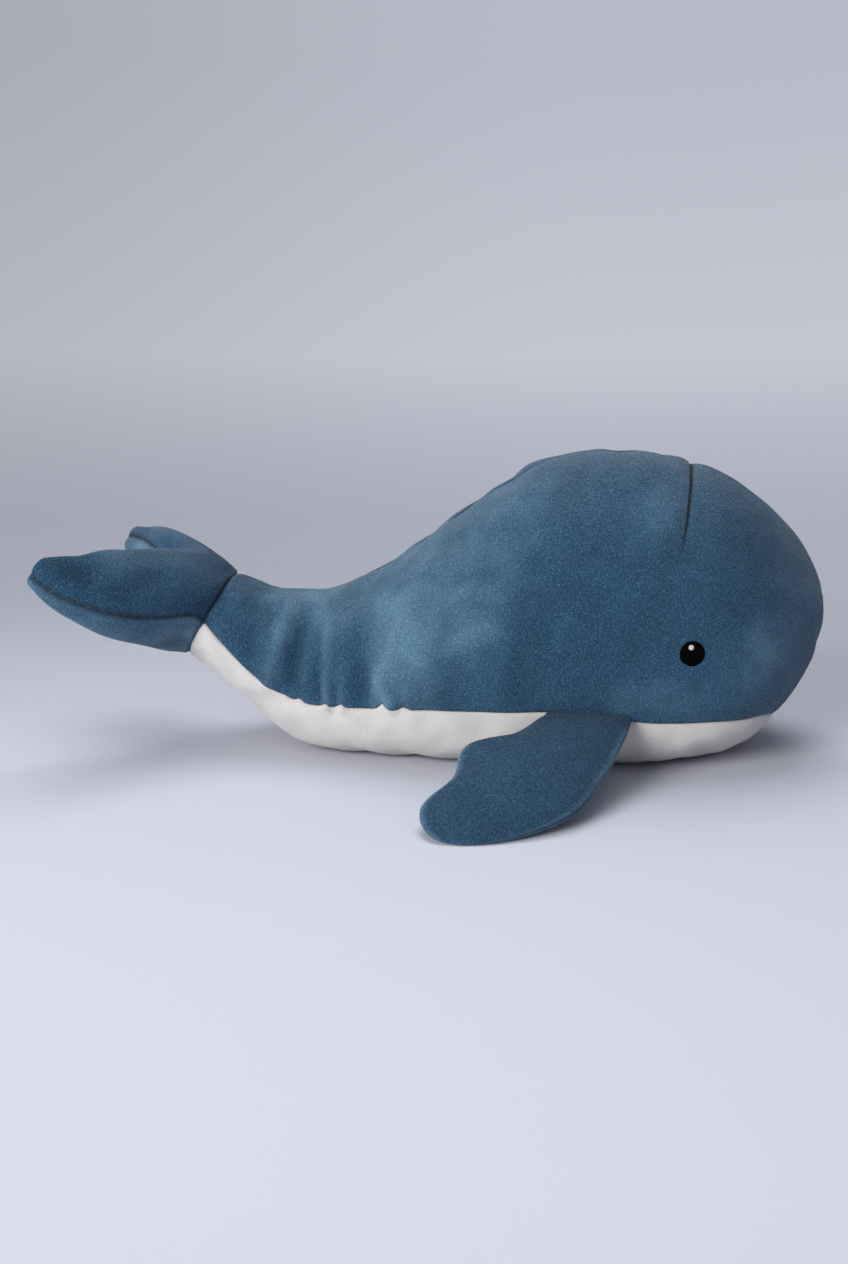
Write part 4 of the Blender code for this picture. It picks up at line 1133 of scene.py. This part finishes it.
def add_sockets(tree, in_out, kinds):
    """Named sockets of a group, and what Blender calls each of them."""
    made = {}
    for name, kind in kinds.items():
        socket = tree.interface.new_socket(name, in_out=in_out, socket_type="NodeSocket" + kind)
        made[name] = socket.identifier
    return made


def vector_node(tree, operation, inputs):
    return add_node(tree, "ShaderNodeVectorMath", inputs, operation=operation)


# %% A tree that turns lines into thread
THREAD_WANDER_SCALE = 900.0


def make_thread_tree():
    tree = bpy.data.node_groups.new("lay_thread", "GeometryNodeTree")
    names = add_sockets(tree, "INPUT", {"Lines": "Geometry", "Thickness": "Float",
                                        "Sides": "Int", "Wander": "Float", "Thread": "Material"})
    add_sockets(tree, "OUTPUT", {"Stitches": "Geometry"})
    given = add_node(tree, "NodeGroupInput").outputs
    noise = add_node(tree, "ShaderNodeTexNoise", {"Scale": THREAD_WANDER_SCALE})
    centred = vector_node(tree, "SUBTRACT", {0: noise.outputs["Color"], 1: (0.5, 0.5, 0.5)})
    wander = vector_node(tree, "SCALE", {0: centred, "Scale": given["Wander"]})
    curves = add_node(tree, "GeometryNodeMeshToCurve", {"Mesh": given["Lines"]})
    shaken = add_node(tree, "GeometryNodeSetPosition", {"Geometry": curves, "Offset": wander})
    ring = add_node(tree, "GeometryNodeCurvePrimitiveCircle",
                    {"Resolution": given["Sides"], "Radius": given["Thickness"]})
    swept = add_node(tree, "GeometryNodeCurveToMesh",
                     {"Curve": shaken, "Profile Curve": ring, "Fill Caps": True})
    realized = add_node(tree, "GeometryNodeRealizeInstances", {"Geometry": swept})
    thread = add_node(tree, "GeometryNodeSetMaterial",
                      {"Geometry": realized, "Material": given["Thread"]})
    add_node(tree, "NodeGroupOutput", {"Stitches": thread})
    return tree, names


thread_tree, thread_inputs = make_thread_tree()


def lay_threads(name, lines, **values):
    """Makes one piece of thread from lines, each a list of points."""
    mesh = bpy.data.meshes.new(name + "_lines")
    points = [tuple(point) for line in lines for point in line]
    edges = []
    start = 0
    for line in lines:
        edges += [(start + i, start + i + 1) for i in range(len(line) - 1)]
        start += len(line)
    mesh.from_pydata(points, edges, [])
    guide = link(name + "_lines", mesh)
    modifier = guide.modifiers.new("thread", "NODES")
    modifier.node_group = thread_tree
    for key, value in values.items():
        modifier[thread_inputs[key]] = value
    graph = bpy.context.evaluated_depsgraph_get()
    made = bpy.data.meshes.new_from_object(guide.evaluated_get(graph))
    made.name = name
    guide.modifiers.clear()
    bpy.data.objects.remove(guide)
    made.shade_smooth()
    return link(name, made)


# %% Where the eye lies
EYE_ALONG_SHARE = 0.257
EYE_HEIGHT_SHARE = 0.394
EYE_FIRST_GUESS = (5.0, 0.0)


def skin_slopes(place, side):
    """A point of the skin, and how it moves for one more station and one more degree."""
    here = smooth_body(place[0], place[1], side)
    by_station = smooth_body(place[0] + STEP, place[1], side) - here
    by_angle = smooth_body(place[0], place[1] + STEP, side) - here
    return here, np.stack([by_station, by_angle], -1) / STEP


def eye_axes(side):
    """Station and angle of the eye, the skin's slopes there, and forward and up on it."""
    goal = np.array([SHIFT[0] - EYE_ALONG_SHARE * BODY_LENGTH, EYE_HEIGHT_SHARE * BODY_HEIGHT])
    place = np.array(EYE_FIRST_GUESS)
    for _ in range(40):
        here, slopes = skin_slopes(place, -1.0)
        place = place + np.linalg.solve(slopes[[0, 2]], goal - here[[0, 2]])
    slopes = skin_slopes(place, side)[1]
    out = body_normal(place[0], place[1], side)
    forward = unit(np.array([1.0, 0.0, 0.0]) - out * out[0])
    up = unit(np.cross(forward, out) * side)
    return place, slopes, forward, up if up[2] > 0.0 else -up


def on_body(side, ahead, above, height):
    """Points over the eye's place: ahead and above it along the skin, height off it."""
    place, slopes, forward, up = eye_axes(side)
    wanted = np.outer(ahead, forward) + np.outer(above, up)
    moves = np.linalg.lstsq(slopes, wanted.T, rcond=None)[0]
    station = place[0] + moves[0]
    angle = place[1] + moves[1]
    base = smooth_body(station, angle, side)
    return base + body_normal(station, angle, side) * np.asarray(height)[..., None]


# %% Threads of a disc
THREAD_POINTS = 13
THREAD_UNEVEN = 0.04


def satin_disc(side, middle, slope_deg, seed, diameter, spacing, base, dome, ragged):
    """Lines of a satin-stitched disc: parallel threads whose ends are a little uneven."""
    draw = np.random.default_rng(seed)
    radius = 0.5 * diameter
    slope = math.radians(slope_deg)
    lines = []
    for offset in np.arange(-radius + 0.4 * spacing, radius, spacing):
        reach = math.sqrt(max(radius**2 - offset**2, 0.0)) + draw.uniform(-ragged, ragged)
        if reach < spacing:
            continue
        along = np.linspace(-reach, reach, THREAD_POINTS)
        ahead = along * math.cos(slope) - offset * math.sin(slope)
        above = along * math.sin(slope) + offset * math.cos(slope)
        level = np.clip(1.0 - (ahead**2 + above**2) / radius**2, 0.0, 1.0)
        uneven = draw.uniform(-THREAD_UNEVEN, THREAD_UNEVEN) * MM
        height = base + dome * np.sqrt(level) + uneven
        lines.append(on_body(side, middle[0] + ahead, middle[1] + above, height))
    return lines


# %% [markdown]
# ## Plush pile
# Minky plush has a pile about a millimetre and a half long. Its tufts stand at slightly
# different angles, so the cloth is speckled light and dark at the size of a millimetre,
# brushed patches are paler, and it glows at its edges where one looks along the pile. The
# tufts are cells of a smooth Voronoi texture with bent edges and paler tips, and the patches
# are noise, both in one node group that the blue and the cream cloth use. The glow is the
# sheen of the Principled shader.

# %% Colours and small nodes
def linear(colour):
    shares = [channel / 255.0 for channel in colour]
    return [s / 12.92 if s < 0.04045 else ((s + 0.055) / 1.055) ** 2.4 for s in shares] + [1.0]


def new_material(name):
    material = bpy.data.materials.new(name)
    material.use_nodes = True
    return material, material.node_tree, material.node_tree.nodes["Principled BSDF"]


def maths(tree, operation, *values):
    return add_node(tree, "ShaderNodeMath", dict(enumerate(values)), operation=operation)


def remap(tree, value, given, wanted=(0.0, 1.0), curve="LINEAR"):
    """A value moved from one span, given as a pair, to another."""
    ends = {"From Min": given[0], "From Max": given[1], "To Min": wanted[0], "To Max": wanted[1]}
    return add_node(tree, "ShaderNodeMapRange", {"Value": value, **ends}, interpolation_type=curve)


def mixed(tree, factor, first, second):
    inputs = {"Factor": factor, "A": first, "B": second}
    return add_node(tree, "ShaderNodeMix", inputs, data_type="RGBA")


def gamma(tree, colour, value):
    return add_node(tree, "ShaderNodeGamma", {"Color": colour, "Gamma": value})


# %% The pile, as a group that both cloths use
PALER_GAMMA = 0.62
TIPS_GAMMA = 0.55
TUFT_BEND_SCALE = 420.0
TUFT_BEND = 0.0022
TUFT_SMOOTHNESS = 0.35
PATCH_NOISE = {"Scale": 24.0, "Detail": 3.0, "Roughness": 0.55, "Distortion": 0.6}


def make_pile_group():
    tree = bpy.data.node_groups.new("plush_pile", "ShaderNodeTree")
    add_sockets(tree, "INPUT", {"Colour": "Color", "Speckle": "Float", "Tips": "Float",
                                "Speckle Size": "Float", "Patches": "Float"})
    add_sockets(tree, "OUTPUT", {"Colour": "Color", "Paler": "Color", "Patch": "Float",
                                 "Roughness": "Float", "Height": "Float"})
    given = add_node(tree, "NodeGroupInput").outputs
    place = add_node(tree, "ShaderNodeTexCoord").outputs["Object"]
    bend = add_node(tree, "ShaderNodeTexNoise",
                    {"Vector": place, "Scale": TUFT_BEND_SCALE, "Detail": 1.0})
    bent = vector_node(tree, "MULTIPLY_ADD",
                       {0: bend.outputs["Color"], 1: (TUFT_BEND,) * 3, 2: place})
    cells = add_node(tree, "ShaderNodeTexVoronoi", {
        "Vector": bent, "Scale": given["Speckle Size"], "Smoothness": TUFT_SMOOTHNESS,
    }, feature="SMOOTH_F1")
    tufts = remap(tree, cells, (0.75, 0.05))
    patches = add_node(tree, "ShaderNodeTexNoise", {"Vector": place, **PATCH_NOISE})

    def centred(value, amount):
        """1 plus amount times how far value lies from its middle."""
        return maths(tree, "MULTIPLY_ADD", remap(tree, value, (0.3, 0.7), (-1.0, 1.0)), amount, 1.0)

    def with_tips(foot):
        return mixed(tree, tips, foot, gamma(tree, foot, TIPS_GAMMA))

    uneven = maths(tree, "MULTIPLY", centred(tufts, given["Speckle"]),
                   centred(patches, given["Patches"]))
    tint = vector_node(tree, "SCALE", {0: given["Colour"], "Scale": uneven})
    tips = remap(tree, tufts, (0.45, 1.0), (0.0, given["Tips"]))
    add_node(tree, "NodeGroupOutput", {
        "Colour": with_tips(tint),
        # The paler colour serves both brushed pile and painted highlights.
        "Paler": with_tips(gamma(tree, tint, PALER_GAMMA)),
        "Patch": remap(tree, patches, (0.35, 0.65), (0.55, 1.55)),
        "Roughness": remap(tree, tufts, (0.0, 1.0), (0.98, 0.78)),
        "Height": tufts,
    })
    return tree


pile_group = make_pile_group()

# %% The blue and the cream cloth
# One attribute holds brushed pile together with painted light and shade; where it is below 0 the cloth is darker
# and also glows less. The groove attribute darkens seams and edges as painted shade.
PILE_RELIEF = 0.35 * MM
PILE_SPECULAR = 0.15
SHEEN_ROUGHNESS = 0.45
SHEEN_LOSS = 2.6


def make_plush(name, pile_values, bump, sheen, sheen_tint, groove_dark, painted_light_places):
    material, tree, shader = new_material(name)
    pile = add_node(tree, "ShaderNodeGroup", pile_values, node_tree=pile_group).outputs
    groove, nap = (add_node(tree, "ShaderNodeAttribute", attribute_name=painted).outputs["Fac"]
                   for painted in ("groove", "nap"))
    uneven = maths(tree, "MULTIPLY", nap, pile["Patch"])
    nap_and_light_colour = mixed(tree, uneven, pile["Colour"], pile["Paler"])
    darker = maths(tree, "MINIMUM", nap, 0.0)
    # Painted shade in the grooves and where the attribute is below 0.
    shade = maths(tree, "MULTIPLY_ADD", groove, -groove_dark, maths(tree, "ADD", darker, 1.0))
    relief = {"Strength": bump, "Distance": PILE_RELIEF, "Height": pile["Height"]}
    feed(tree, shader, {
        "Base Color": vector_node(tree, "SCALE", {0: nap_and_light_colour, "Scale": shade}),
        "Roughness": pile["Roughness"],
        "Normal": add_node(tree, "ShaderNodeBump", relief),
        "Specular IOR Level": PILE_SPECULAR,
        "Sheen Weight": sheen,
        "Sheen Roughness": SHEEN_ROUGHNESS,
        "Sheen Tint": linear(sheen_tint),
    })
    if painted_light_places:
        glow = maths(tree, "MULTIPLY_ADD", darker, SHEEN_LOSS * sheen, sheen)
        feed(tree, shader, {"Sheen Weight": glow})
    return material


blue_plush = make_plush("blue_minky", {
    "Colour": linear((44, 80, 107)), "Speckle": 0.27, "Tips": 0.36,
    "Speckle Size": 1350.0, "Patches": 0.16,
}, bump=1.0, sheen=0.32, sheen_tint=(206, 216, 218), groove_dark=0.65, painted_light_places=True)
cream_plush = make_plush("cream_minky", {
    "Colour": linear((204, 201, 197)), "Speckle": 0.03, "Tips": 0.05,
    "Speckle Size": 1350.0, "Patches": 0.03,
}, bump=0.4, sheen=0.3, sheen_tint=(235, 232, 228), groove_dark=0.12, painted_light_places=False)

# %% [markdown]
# ## Embroidery thread
# Polyester thread is slightly glossy along its length. The black of the eye is nearly
# without colour, and the gloss alone shows the stitches.

# %% Thread
THREAD_TWIST_SCALE = 2500.0
THREAD_DARK_SHARE = 0.8
THREAD_RELIEF = 0.1 * MM
THREAD_SPECULAR = 0.05


def make_thread_material(name, colour, roughness, bump):
    material, tree, shader = new_material(name)
    place = add_node(tree, "ShaderNodeTexCoord").outputs["Object"]
    twist = add_node(tree, "ShaderNodeTexNoise", {"Vector": place, "Scale": THREAD_TWIST_SCALE})
    dark = linear([channel * THREAD_DARK_SHARE for channel in colour])
    relief = {"Strength": bump, "Distance": THREAD_RELIEF, "Height": twist}
    feed(tree, shader, {
        "Base Color": mixed(tree, twist, dark, linear(colour)),
        "Specular IOR Level": THREAD_SPECULAR,
        "Roughness": remap(tree, twist, (0.0, 1.0), (roughness - 0.08, roughness + 0.12)),
        "Normal": add_node(tree, "ShaderNodeBump", relief),
    })
    return material


black_thread = make_thread_material("black_embroidery", (1, 1, 2), 0.7, 0.15)
white_thread = make_thread_material("white_embroidery", (232, 232, 234), 0.4, 0.2)

# %% Stitch the eyes
EYE_DIAMETER = 12.0 * MM
GLINT_AT = (-1.0 * MM, 3.1 * MM)
EYE_SATIN = dict(diameter=EYE_DIAMETER, spacing=0.30 * MM, base=0.25 * MM, dome=1.1 * MM,
                 ragged=0.16 * MM)
EYE_PAD = dict(diameter=0.94 * EYE_DIAMETER, spacing=0.42 * MM, base=0.0, dome=1.0 * MM,
               ragged=0.1 * MM)
GLINT = dict(diameter=2.4 * MM, spacing=0.22 * MM, base=1.1 * MM, dome=0.55 * MM,
             ragged=0.04 * MM)

eyes = {}
for label, side, seed in (("right", -1.0, 31), ("left", 1.0, 32)):
    eye_lines = satin_disc(side, (0.0, 0.0), 78.0 * -side, seed, **EYE_SATIN)
    pad_lines = satin_disc(side, (0.0, 0.0), 10.0, seed + 4, **EYE_PAD)
    eye = lay_threads(f"eye_{label}_satin", pad_lines + eye_lines,
                      Thickness=0.22 * MM, Sides=6, Wander=0.06 * MM, Thread=black_thread)
    glint_lines = satin_disc(side, GLINT_AT, 80.0, seed + 9, **GLINT)
    glint = lay_threads(f"eye_{label}_glint", glint_lines,
                        Thickness=0.17 * MM, Sides=6, Wander=0.03 * MM, Thread=white_thread)
    eyes[label] = (eye, glint)
    print("eye", label, len(eye.data.polygons) + len(glint.data.polygons), "faces")

# %% [markdown]
# ## What each piece rides on
# A panel of the body stays with the body, and so do the eyes. The fluke and the fins bend at a seam on the toy, but
# here their cloth keeps the place it was built in.

# %% Finish, ride and replace
for piece in (right_side, left_side, fluke_top, fluke_under, *fins["right"], *fins["left"]):
    piece.data.materials.append(blue_plush)
belly.data.materials.append(cream_plush)

for piece in (right_side, left_side, belly):
    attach(piece, "body")
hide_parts("side_panel_right")
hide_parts("side_panel_left")
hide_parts("belly_panel", "torso_stuffing", "tail_stuffing")

# %% The fluke and the fins keep their built places; the eyes ride on the body
FLUKE_BEND_MM = (0.5, 22.0)
FIN_BEND_END = 12.0 * MM

bend_start, bend_end = (TAIL_MIDDLE + TAIL_ALONG * reach * MM for reach in FLUKE_BEND_MM)
for piece in (fluke_top, fluke_under):
    tuple(bend_start)
    tuple(bend_end)
    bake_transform(piece)
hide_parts("fluke_upper_panel", "fluke_base_stuffing")
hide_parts("fluke_lower_panel", "fluke_lobe_right_stuffing", "fluke_lobe_left_stuffing")

for label, side in (("right", -1.0), ("left", 1.0)):
    top, underside = fins[label]
    place = fin_places(label, side)
    middle = 0.5 * FIN_ROOT_CHORD
    start, end = (place(np.array([middle, out, 0.0])) for out in (-FIN_TUCK, FIN_BEND_END))
    for piece in (top, underside):
        tuple(start)
        tuple(end)
        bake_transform(piece)
    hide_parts(f"fin_{label}_upper_panel", f"fin_{label}_stuffing")
    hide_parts(f"fin_{label}_lower_panel")
    eye, glint = eyes[label]
    for piece, node, slot in ((eye, f"eye_{label}", "black_thread"), (glint, f"eye_glint_{label}", "white_thread")):
        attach(piece, "body")
        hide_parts(node)

# %% [markdown]
# ## Floor, light and camera
# The photograph was taken on a seamless paper sweep under broad soft light. A sweep is one
# sheet that curves up from floor to wall, so no horizon line shows. The lamps are weak
# enough that every colour comes out about as it is written.

# %% The sweep
SWEEP_FLOOR = 1.6
SWEEP_BEND = 1.5
SWEEP_TOP = 5.0
SWEEP_SEGMENTS = 96
SWEEP_BEND_STEPS = 20


def make_sweep():
    """Floor and wall as one bowl, so that the wall is there from every side."""
    bends = [0.5 * math.pi * step / SWEEP_BEND_STEPS for step in range(SWEEP_BEND_STEPS + 1)]
    run = [(SWEEP_FLOOR + SWEEP_BEND * math.sin(t), SWEEP_BEND * (1.0 - math.cos(t)))
           for t in bends]
    run += [(SWEEP_FLOOR + SWEEP_BEND, SWEEP_TOP)]
    turns = [2.0 * math.pi * step / SWEEP_SEGMENTS for step in range(SWEEP_SEGMENTS)]
    bm = bmesh.new()
    rings = [[bm.verts.new((radius * math.cos(t), radius * math.sin(t), height)) for t in turns]
             for radius, height in run]
    bm.faces.new(rings[0])
    grid_faces(bm, [ring + ring[:1] for ring in rings])
    bmesh.ops.recalc_face_normals(bm, faces=bm.faces)
    bm.faces.ensure_lookup_table()
    if bm.faces[0].normal.z < 0.0:
        bmesh.ops.reverse_faces(bm, faces=bm.faces)
    return smooth_object("paper_sweep", bm)


# %% The paper
FLOOR_NEAR_Y, FLOOR_FAR_Y = -0.35, 0.40
# Painted shade: the floor's own colour darkens towards the back, where less light falls.
FLOOR_TONES = (
    (FLOOR_NEAR_Y, (214, 216, 227)),
    (-0.10, (203, 205, 216)),
    (0.10, (189, 191, 202)),
    (FLOOR_FAR_Y, (179, 181, 193)),
)
# The wall glows in these tones, dimmed to the left as painted shade.
WALL_TONES = ((0.0, (172, 175, 188)), (0.3, (196, 198, 210)), (1.0, (184, 187, 199)))
WALL_GRADIENT_TOP = 1.4
WALL_DIM_X = (-2.2, 0.6)
WALL_DIM = (0.78, 1.0)
PAPER_NEAR = 0.2
PAPER_FAR = 0.95


def colour_ramp(tree, value, stops):
    """A ramp through stops, each a place and a colour; the first is at 0, the last at 1."""
    ramp = add_node(tree, "ShaderNodeValToRGB", {"Fac": value})
    elements = ramp.color_ramp.elements
    elements[0].color = linear(stops[0][1])
    elements[1].color = linear(stops[-1][1])
    for place, colour in stops[1:-1]:
        elements.new(place).color = linear(colour)
    return ramp


def make_paper():
    """Pale paper that holds shadows near the whale, with painted shade that darkens the floor towards the back.
    Further off, what the camera sees of it is a painted glow instead of lit paper, a gradient from the floor's tone
    to the wall's, with painted shade to the left."""
    material, tree, shader = new_material("pale_paper")
    place = add_node(tree, "ShaderNodeTexCoord").outputs["Object"]
    parts = add_node(tree, "ShaderNodeSeparateXYZ", {"Vector": place}).outputs
    depth = FLOOR_FAR_Y - FLOOR_NEAR_Y
    tones = [((y - FLOOR_NEAR_Y) / depth, colour) for y, colour in FLOOR_TONES]
    floor = colour_ramp(tree, remap(tree, parts["Y"], (FLOOR_NEAR_Y, FLOOR_FAR_Y)), tones)
    feed(tree, shader, {"Base Color": floor, "Roughness": 0.9, "Specular IOR Level": 0.1})
    wall = colour_ramp(tree, remap(tree, parts["Z"], (0.0, WALL_GRADIENT_TOP)), WALL_TONES)
    dim = remap(tree, parts["X"], WALL_DIM_X, WALL_DIM, curve="SMOOTHSTEP")
    glow = add_node(tree, "ShaderNodeEmission", {"Color": wall, "Strength": dim})
    flat = vector_node(tree, "MULTIPLY", {0: place, 1: (1.0, 1.0, 0.0)})
    distance = vector_node(tree, "LENGTH", {0: flat})
    far = remap(tree, distance, (PAPER_NEAR, PAPER_FAR), curve="SMOOTHSTEP")
    ray = add_node(tree, "ShaderNodeLightPath").outputs
    seen = maths(tree, "MAXIMUM", ray["Is Camera Ray"], ray["Is Glossy Ray"])
    amount = maths(tree, "MULTIPLY", far, seen)
    surface = add_node(tree, "ShaderNodeMixShader", {"Fac": amount, 1: shader, 2: glow})
    feed(tree, tree.nodes["Material Output"], {"Surface": surface})
    return material


sweep = make_sweep()
sweep.data.materials.append(make_paper())

# %% Lamps
LAMP_AIM = (0.0, 0.0, 0.05)
WORLD_COLOUR = (1.0, 0.99, 0.99, 1.0)
WORLD_STRENGTH = 0.48


def soft_lamp(name, place, size, power, colour):
    lamp = bpy.data.lights.new(name, "AREA")
    lamp.shape = "DISK"
    lamp.size = size
    lamp.energy = power
    lamp.color = colour
    made = link(name, lamp)
    made.location = place
    made.rotation_euler = (Vector(LAMP_AIM) - Vector(place)).to_track_quat("-Z", "Y").to_euler()


soft_lamp("key", (-1.15, -1.3, 0.75), size=0.9, power=31.0, colour=(1.0, 0.99, 0.98))
soft_lamp("above", (0.1, 0.5, 1.5), size=1.2, power=13.0, colour=(1.0, 1.0, 1.0))

world = bpy.data.worlds.new("studio")
bpy.context.scene.world = world
world.use_nodes = True
sky = {"Color": WORLD_COLOUR, "Strength": WORLD_STRENGTH}
feed(world.node_tree, world.node_tree.nodes["Background"], sky)

# %% [markdown]
# ## The camera
# It stands where the photographer's did: a little above the whale, half a metre off, with
# a wide field of view. The place was found by fitting the outline of the body and the two
# fluke lobes, whose distances differ, to the photograph.

# %% Camera
CAMERA_PLACE = (-0.0130, -0.5373, 0.1592)
CAMERA_TILT_DEG = 79.4
CAMERA_SENSOR_MM = 36.0
CAMERA_LENS_MM = 28.48

camera_data = bpy.data.cameras.new("photographer")
camera_data.sensor_width = CAMERA_SENSOR_MM
camera_data.lens = CAMERA_LENS_MM
camera_data.clip_start = 0.02
camera = link("photographer", camera_data)
camera.location = CAMERA_PLACE
camera.rotation_euler = (math.radians(CAMERA_TILT_DEG), 0.0, 0.0)
bpy.context.scene.camera = camera
bpy.context.scene.view_settings.view_transform = "Standard"
